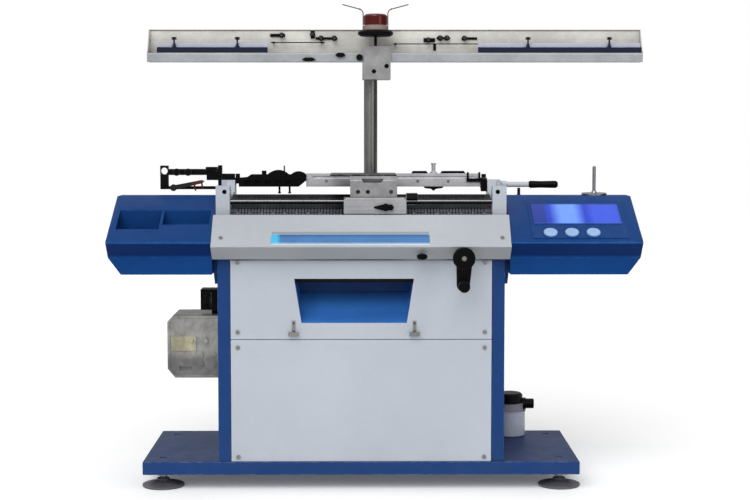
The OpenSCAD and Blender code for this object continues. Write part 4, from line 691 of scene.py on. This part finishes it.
def softened(node, width, shortest=0.0, segments=2, sharp=math.radians(32)):
    """A copy of a node with its sharp edges broken, as folded sheet and castings have, and marked for wear.

    Edges no longer than shortest, such as those round screw holes, stay sharp."""
    finish = finish_of(node)
    shape = bmesh.new()
    shape.from_mesh(NODES[node].data)
    bmesh.ops.remove_doubles(shape, verts=shape.verts, dist=2e-5)
    bmesh.ops.dissolve_limit(shape, angle_limit=math.radians(0.6), use_dissolve_boundaries=False,
                             verts=shape.verts, edges=shape.edges)
    bmesh.ops.connect_verts_concave(shape, faces=shape.faces)
    for face in shape.faces:
        face.smooth = True
        face.material_index = 0
    broken = shape.edges.layers.float.new("bevel_weight_edge")
    for edge in shape.edges:
        edge[broken] = float(edge.calc_face_angle(0.0) > sharp and edge.calc_length() > shortest)
    mesh = bpy.data.meshes.new(node + "_softened")
    shape.to_mesh(mesh)
    shape.free()
    mesh.materials.append(finish)
    mesh.materials.append(finish)
    thing = bpy.data.objects.new(node + "_softened", mesh)
    bpy.context.scene.collection.objects.link(thing)
    bevel = thing.modifiers.new("broken edges", "BEVEL")
    bevel.width = width
    bevel.segments = segments
    bevel.limit_method = "WEIGHT"
    bevel.use_clamp_overlap = False
    bevel.material = 1
    as_plain_mesh(thing)
    marks = thing.data.attributes.new("edge", "FLOAT", "FACE")
    for mark, face in zip(marks.data, thing.data.polygons):
        mark.value = float(face.material_index)
        face.material_index = 0
    thing.data.materials.pop(index=1)
    steady_normals(thing.data)
    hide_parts(node)
    return rest_on(thing, node)


SHEET_METAL = {
    "base_plate": 0.0025, "side_panels": 0.0012, "back_panel": 0.001, "upper_front_panel": 0.0012,
    "lower_front_panel": 0.0012, "left_console": 0.0018, "right_console": 0.0018, "head_casing": 0.0012,
    "yarn_beam": 0.0012, "control_box": 0.002, "end_brackets": 0.001, "glove_chute": 0.0008,
    "top_rail": 0.001,
    "carriage_bridge": 0.0012, "mast_foot": 0.001, "beam_strips": 0.0008, "display_panel": 0.0005,
    "console_brackets": 0.001,
}
CASTINGS = {
    "control_box_cover": 0.0006, "switch_box": 0.0015, "crank_arm": 0.0015, "beam_clamp": 0.001,
    "carriage_cover": 0.001, "feed_frame": 0.001, "drive_motor": 0.0015, "rail_end_block": 0.0008,
    "latch_knob": 0.0008, "carriage_body": 0.0008,
}
HOLE_RIM = 0.002
for node, width in SHEET_METAL.items():
    softened(node, width, HOLE_RIM)
for node, width in CASTINGS.items():
    softened(node, width)


def make_bar_clamp():
    """A saddle on the left bracket over the yarn change unit's bar, open below where the bar passes."""
    unit, seat = edges_of("yarn_change_unit"), edges_of("end_brackets")[2][1]
    middle = (unit[1][0] + unit[1][1]) / 2
    bar_half, bar_rise, cheek, crown, gap = 0.009, 0.006, 0.005, 0.012, 0.0002
    inner, roof, top = bar_half + gap, seat + bar_rise + gap, seat + bar_rise + crown
    outer = inner + cheek
    left, right = edges_of("feed_frame")[0][1] + 0.0003, unit[0][0] + 0.031
    outline = [(-outer, seat), (-inner, seat), (-inner, roof), (inner, roof), (inner, seat), (outer, seat),
               (outer, top), (-outer, top)]
    n = len(outline)
    sides = [((i - 1) % n, i, n + i, n + (i - 1) % n) for i in range(n)]
    mesh = bpy.data.meshes.new("bar_clamp")
    mesh.from_pydata([(x, middle + y, z) for x in (left, right) for y, z in outline], [],
                     [tuple(reversed(range(n))), tuple(range(n, 2 * n))] + sides)
    mesh.materials.append(finish_of("yarn_change_unit"))
    thing = bpy.data.objects.new("bar_clamp", mesh)
    bpy.context.scene.collection.objects.link(thing)
    bevel = thing.modifiers.new("broken edges", "BEVEL")
    bevel.width = 0.0008
    bevel.segments = 2
    bevel.limit_method = "NONE"
    thing.modifiers.new("flat ends", "TRIANGULATE").min_vertices = 5
    as_plain_mesh(thing)
    for face in thing.data.polygons:
        face.use_smooth = True
    steady_normals(thing.data)
    return rest_on(thing, "yarn_change_unit")


make_bar_clamp()


# ------------------------------------------------------------------ small fittings that repeat

SOCKETS = {"float": "NodeSocketFloat", "int": "NodeSocketInt", "vector": "NodeSocketVector",
           "material": "NodeSocketMaterial"}


def shape_tree(name, inputs):
    """An empty shape rule: geometry in and out, and named inputs for its sizes, as name: (kind, default)."""
    tree = bpy.data.node_groups.new(name, "GeometryNodeTree")
    tree.interface.new_socket(name="Geometry", in_out="INPUT", socket_type="NodeSocketGeometry")
    tree.interface.new_socket(name="Geometry", in_out="OUTPUT", socket_type="NodeSocketGeometry")
    for label, (kind, default) in {**inputs, "Finish": ("material", None)}.items():
        made = tree.interface.new_socket(name=label, in_out="INPUT", socket_type=SOCKETS[kind])
        if default is not None:
            made.default_value = default
    return tree, tree.nodes.new("NodeGroupInput").outputs, tree.nodes.new("NodeGroupOutput").inputs


def set_out(tree, given, out, shape, turned=True):
    """Places a shape on each point, its Z along the point's aim, and ends the rule with one plain mesh."""
    aim = put(tree, "GeometryNodeInputNamedAttribute", {"Name": "aim"},
              data_type="FLOAT_VECTOR").outputs["Attribute"]
    turn = put(tree, "FunctionNodeAlignRotationToVector", {"Vector": aim}, axis="Z").outputs[0]
    feeds = {"Points": given["Geometry"], "Instance": shape}
    if turned:
        feeds["Rotation"] = turn
    placed = put(tree, "GeometryNodeInstanceOnPoints", feeds).outputs[0]
    real = put(tree, "GeometryNodeRealizeInstances", {0: placed}).outputs[0]
    done = put(tree, "GeometryNodeSetMaterial", {"Geometry": real, "Material": given["Finish"]}).outputs[0]
    tree.links.new(done, out["Geometry"])


def make_cap_screws():
    """Round screw heads with a socket sunk in each."""
    tree, given, out = shape_tree("cap screws", {"Head": ("float", 0.01), "Height": ("float", 0.006),
                                                 "Socket": ("float", 0.55),
                                                 "Sides": ("int", 18)})
    head = put(tree, "GeometryNodeMeshCylinder", {"Vertices": given["Sides"], "Depth": given["Height"],
                                                  "Radius": math_of(tree, "MULTIPLY", given["Head"], 0.5)})
    lift = put(tree, "ShaderNodeCombineXYZ", {2: math_of(tree, "MULTIPLY", given["Height"], 0.5)}).outputs[0]
    sunk = put(tree, "ShaderNodeCombineXYZ", {2: math_of(tree, "MULTIPLY", given["Height"], -0.6)}).outputs[0]
    rim = put(tree, "GeometryNodeExtrudeMesh", {"Mesh": head.outputs["Mesh"],
                                                "Selection": head.outputs["Top"],
                                                "Offset Scale": 0.0, "Individual": False})
    narrowed = put(tree, "GeometryNodeScaleElements", {"Geometry": rim.outputs["Mesh"],
                                                       "Selection": rim.outputs["Top"],
                                                       "Scale": given["Socket"]}).outputs[0]
    cup = put(tree, "GeometryNodeExtrudeMesh", {"Mesh": narrowed, "Selection": rim.outputs["Top"],
                                                "Offset": sunk,
                                                "Individual": False})
    seated = put(tree, "GeometryNodeTransform", {"Geometry": cup.outputs["Mesh"],
                                                 "Translation": lift}).outputs[0]
    set_out(tree, given, out, seated)
    return tree


def make_wound_springs():
    """Coil springs that stand on their points."""
    tree, given, out = shape_tree("wound springs", {"Turns": ("float", 9.0), "Radius": ("float", 0.005),
                                                    "Length": ("float", 0.02), "Wire": ("float", 0.0006)})
    coil = put(tree, "GeometryNodeCurveSpiral", {"Resolution": 10, "Rotations": given["Turns"],
                                                 "Start Radius": given["Radius"],
                                                 "End Radius": given["Radius"],
                                                 "Height": given["Length"]}).outputs[0]
    wire = put(tree, "GeometryNodeCurvePrimitiveCircle", {"Resolution": 5,
                                                          "Radius": given["Wire"]}).outputs[0]
    tube = put(tree, "GeometryNodeCurveToMesh", {"Curve": coil, "Profile Curve": wire,
                                                 "Fill Caps": True}).outputs[0]
    set_out(tree, given, out, tube)
    return tree


def make_blade_comb():
    """A row of thin plates at one pitch along X, each a little different in size."""
    tree, given, out = shape_tree("blade comb", {"Span": ("float", 0.7), "Pitch": ("float", 0.003),
                                                 "Blade": ("vector", (0.001, 0.01, 0.006)),
                                                 "Lean": ("float", 0.0)})
    count = math_of(tree, "DIVIDE", given["Span"], given["Pitch"])
    step = put(tree, "ShaderNodeCombineXYZ", {0: given["Pitch"]}).outputs[0]
    row = put(tree, "GeometryNodeMeshLine", {"Count": count, "Offset": step}, mode="OFFSET").outputs[0]
    plate = put(tree, "GeometryNodeMeshCube", {"Size": given["Blade"]}).outputs[0]
    lean = put(tree, "ShaderNodeCombineXYZ", {0: given["Lean"]}).outputs[0]
    leaned = put(tree, "GeometryNodeTransform", {"Geometry": plate, "Rotation": lean}).outputs[0]
    out_of_line = put(tree, "FunctionNodeRandomValue", {"Min": (1.0, 0.97, 0.94), "Max": (1.0, 1.0, 1.0),
                                                        "Seed": 5},
                      data_type="FLOAT_VECTOR").outputs[0]
    comb = put(tree, "GeometryNodeInstanceOnPoints", {"Points": row, "Instance": leaned,
                                                      "Scale": out_of_line}).outputs[0]
    real = put(tree, "GeometryNodeRealizeInstances", {0: comb}).outputs[0]
    set_out(tree, given, out, real, turned=False)
    return tree


SHAPES = {tree.name: tree for tree in (make_cap_screws(), make_wound_springs(), make_blade_comb())}


def grow(name, shape, places, node, finish=None, slot=None, **sizes):
    """Makes one plain mesh of a shape at each place, as (point, aim), riding with a node."""
    mesh = bpy.data.meshes.new(name)
    mesh.from_pydata([point for point, aim in places], [], [])
    aims = mesh.attributes.new("aim", "FLOAT_VECTOR", "POINT")
    for mark, (point, aim) in zip(aims.data, places):
        mark.vector = aim
    thing = bpy.data.objects.new(name, mesh)
    bpy.context.scene.collection.objects.link(thing)
    rule = thing.modifiers.new(shape, "NODES")
    rule.node_group = SHAPES[shape]
    slot = slot or SLOT_OF[node]
    values = {**sizes, "Finish": finish or FINISHES[slot]}
    for item in SHAPES[shape].interface.items_tree:
        if item.in_out == "INPUT" and item.name in values:
            rule[item.identifier] = values[item.name]
    as_plain_mesh(thing)
    for face in thing.data.polygons:
        face.use_smooth = True
    thing.data.set_sharp_from_angle(angle=math.radians(35))
    return rest_on(thing, node)


FORWARD, BACKWARD, UP = (0, -1, 0), (0, 1, 0), (0, 0, 1)


def row(first, last, count):
    """Evenly spaced values from first to last."""
    return [first + (last - first) * i / (count - 1) for i in range(count)]


def fit_frame_screws():
    """Screws that hold the back panel, the mast's foot, the beam's clamp and the end brackets."""
    side, back, foot = edges_of("side_panels"), edges_of("back_panel"), edges_of("mast_foot")
    inset = 0.015
    places = [((x, side[1][1], z), BACKWARD) for x in (side[0][0] + inset, side[0][1] - inset)
              for z in row(back[2][0] + 0.03, back[2][1] - 0.03, 5)]
    grow("back_panel_screws", "cap screws", places, "back_panel", FINISHES["mast_steel"], Head=0.011,
         Height=0.004)
    middle = [(low + high) / 2 for low, high in foot]
    top = foot[2][0] + 0.0118
    places = [((middle[0] + dx, middle[1] + dy, top), UP) for dx in (-0.048, 0.048) for dy in (-0.033, 0.033)]
    grow("mast_foot_screws", "cap screws", places, "mast_foot", FINISHES["mast_steel"], Head=0.016,
         Height=0.008)
    clamp = edges_of("beam_clamp")
    face = clamp[1][0] + 0.004
    places = [((clamp[0][1] - dx, face, clamp[2][0] + dz), FORWARD) for dx,
              dz in ((0.049, 0.02295), (0.01185, 0.03825))]
    grow("clamp_screws", "cap screws", places, "beam_clamp", FINISHES["black_metal"], Head=0.0115,
         Height=0.0038)
    bracket = edges_of("end_brackets")
    inner = edges_of("front_needle_bed")[0][1] - 0.007
    centre = (bracket[0][0] + bracket[0][1]) / 2
    reach = inner - centre + 0.022
    places = [((centre + side * reach, bracket[1][0] + 0.008, bracket[2][1] - 0.027),
               FORWARD) for side in (-1, 1)]
    grow("bracket_screws", "cap screws", places, "end_brackets", FINISHES["black_metal"], Head=0.0118,
         Height=0.005)


def fit_head_screws():
    """Screws in the rail's sunk holes, along the beds' clamping grooves, and in the crank's hub."""
    rail = edges_of("top_rail")
    pitch = 0.09
    count = int((rail[0][1] - rail[0][0] - 0.1) / pitch) + 1
    height = rail[2][0] + 0.0156
    places = [((rail[0][0] + 0.06 + i * pitch, rail[1][0] + 0.005, height), FORWARD) for i in range(count)]
    grow("rail_screws", "cap screws", places, "top_rail", FINISHES["mast_steel"], Head=0.0075, Height=0.004)
    hub = edges_of("crank_arm")
    middle = (hub[0][0] + hub[0][1]) / 2
    grow("hub_screw", "cap screws", [((middle, hub[1][0] + 0.006, hub[2][1] - 0.031), FORWARD)], "crank_arm",
         FINISHES["mast_steel"], Head=0.013, Height=0.005)


BED_SLOPE = math.radians(40)


def bed_point(node, x, down, out):
    """A point on a needle bed, at a distance down its slope and out of its face, and the face's aim."""
    bed = edges_of(node)
    side = -1 if node.startswith("front") else 1
    edge = bed[1][1] if side < 0 else bed[1][0]
    slope = BED_SLOPE
    aim = (0, side * math.sin(slope), math.cos(slope))
    point = (x, edge + side * (down * math.cos(slope)) + out * aim[1],
             bed[2][1] - down * math.sin(slope) + out * aim[2])
    return point, aim


def fit_bed_pieces():
    """Screws along each bed's groove, and the comb of thin plates near its upper edge."""
    for node in ("front_needle_bed", "rear_needle_bed"):
        bed = edges_of(node)
        places = [bed_point(node, x, 0.081, -0.0015) for x in row(bed[0][0] + 0.02, bed[0][1] - 0.02, 22)]
        grow(node + "_screws", "cap screws", places, node, FINISHES["mast_steel"], Head=0.007, Height=0.0022,
             Sides=12)
        side = -1 if node.startswith("front") else 1
        span = bed[0][1] - bed[0][0] - 0.03
        point, aim = bed_point(node, bed[0][0] + 0.01725, 0.0095, -0.001)
        grow(node + "_comb", "blade comb", [(point, aim)], node, FINISHES["needle_steel"], Span=span,
             Pitch=0.0045,
             Blade=(0.0012, 0.013, 0.006), Lean=-side * BED_SLOPE)


def fit_yarn_springs():
    """A short spring on the post of each pair of tension discs."""
    beam, mast = edges_of("yarn_beam"), edges_of("mast")
    middle = (mast[0][0] + mast[0][1]) / 2
    face = beam[1][1] - 0.0256
    posts = [(-0.264, 0.080), (-0.172, 0.082), (-0.147, 0.071), (-0.108, 0.071), (0.171, 0.066),
             (0.206, 0.072),
             (0.226, 0.072), (0.278, 0.071)]
    places = [((middle + dx, face, beam[2][0] + dz), FORWARD) for dx, dz in posts]
    grow("tension_springs", "wound springs", places, "tension_units", FINISHES["mast_steel"], Turns=5.0,
         Radius=0.0034,
         Length=0.0062, Wire=0.0005)


def fit_box_screws():
    """Screws at the corners of the control box's cover."""
    x, y, z = edges_of("control_box_cover")
    rim = 0.0036
    places = [((px, y[0] + 0.006, pz), FORWARD) for px, pz in (
        (x[1] - rim, z[0] + 0.012), (x[1] - rim, z[1] - 0.012), (x[0] + 0.034, z[0] + rim),
        (x[0] + 0.034, z[1] - rim))]
    grow("cover_screws", "cap screws", places, "control_box_cover", FINISHES["mast_steel"], Head=0.0055,
         Height=0.002)


fit_frame_screws()
fit_head_screws()
fit_bed_pieces()
fit_yarn_springs()
fit_box_screws()


# ------------------------------------------------------------------ studio

def make_floor():
    """A pale floor, wide enough to fill the view from any side."""
    size = 14.0
    mesh = bpy.data.meshes.new("studio_floor")
    mesh.from_pydata([(-size, -size, 0), (size, -size, 0), (size, size, 0), (-size, size, 0)], [],
                     [(0, 1, 2, 3)])
    thing = bpy.data.objects.new("studio_floor", mesh)
    bpy.context.scene.collection.objects.link(thing)
    made = Finish("studio floor", paint(252, 252, 252), specular=0.1).uneven(0.008, 0.6).gloss(0.7, 0.04, 1.0)
    made.shader.inputs["Emission Color"].default_value = WHITE
    made.shader.inputs["Emission Strength"].default_value = 0.1
    mesh.materials.append(made.done())


def make_light(name, where, target, size, power, colour=(1.0, 1.0, 1.0)):
    lamp = bpy.data.lights.new(name, "AREA")
    lamp.shape = "RECTANGLE"
    lamp.size, lamp.size_y = size
    lamp.energy = power
    lamp.color = colour
    thing = bpy.data.objects.new(name, lamp)
    bpy.context.scene.collection.objects.link(thing)
    thing.location = where
    thing.rotation_euler = (Vector(target) - Vector(where)).to_track_quat("-Z", "Y").to_euler()


def make_sun():
    """One broad soft light from the front, above and to the left, even over the whole floor."""
    lamp = bpy.data.lights.new("broad light", "SUN")
    lamp.energy = 2.2
    lamp.angle = math.radians(50)
    thing = bpy.data.objects.new("broad light", lamp)
    bpy.context.scene.collection.objects.link(thing)
    thing.rotation_euler = Vector((0.3, 1.0, -0.85)).to_track_quat("-Z", "Y").to_euler()


def make_world():
    """White surroundings, weaker as a light than to look at, darker in reflections low and to the right."""
    world = bpy.data.worlds.new("studio")
    bpy.context.scene.world = world
    world.use_nodes = True
    tree = world.node_tree
    tree.nodes.clear()
    path = put(tree, "ShaderNodeLightPath").outputs
    way = put(tree, "ShaderNodeSeparateXYZ", {0: put(tree,
                                                     "ShaderNodeTexCoord").outputs["Generated"]}).outputs
    high = ramp_of(tree, way[2], 0.0, 0.7, 0.35, 1.1)
    right = ramp_of(tree, way[0], 0.3, 0.8, 1.0, 0.35)
    mirrored = math_of(tree, "MULTIPLY", high, right)
    plain = put(tree, "ShaderNodeMapRange", {0: path["Is Camera Ray"], 3: 0.55, 4: 1.0}).outputs[0]
    strength = put(tree, "ShaderNodeMix", {0: path["Is Glossy Ray"], 2: plain, 3: mirrored},
                   data_type="FLOAT").outputs[0]
    light = put(tree, "ShaderNodeBackground", {0: (1.0, 1.0, 1.0, 1.0), 1: strength})
    put(tree, "ShaderNodeOutputWorld", {0: light.outputs[0]})


# The camera's lens and sensor in mm, its place in metres, and its tilt and turn in degrees
LENS, SENSOR = 76.8, 36.0
EYE = (-0.0524, -4.640, 1.035)
LOOK_DOWN, TURN = 4.47, -0.39


def make_camera():
    lens = bpy.data.cameras.new("camera")
    lens.lens = LENS
    lens.sensor_width = SENSOR
    lens.clip_end = 60.0
    thing = bpy.data.objects.new("camera", lens)
    bpy.context.scene.collection.objects.link(thing)
    thing.location = EYE
    thing.rotation_euler = (math.radians(90 - LOOK_DOWN), 0, math.radians(TURN))
    bpy.context.scene.camera = thing


make_floor()
make_sun()
make_light("side panel", (3.0, -2.8, 2.2), (0, 0, 0.8), (1.6, 2.4), 25)
make_world()
make_camera()
bpy.context.scene.view_settings.view_transform = "Standard"
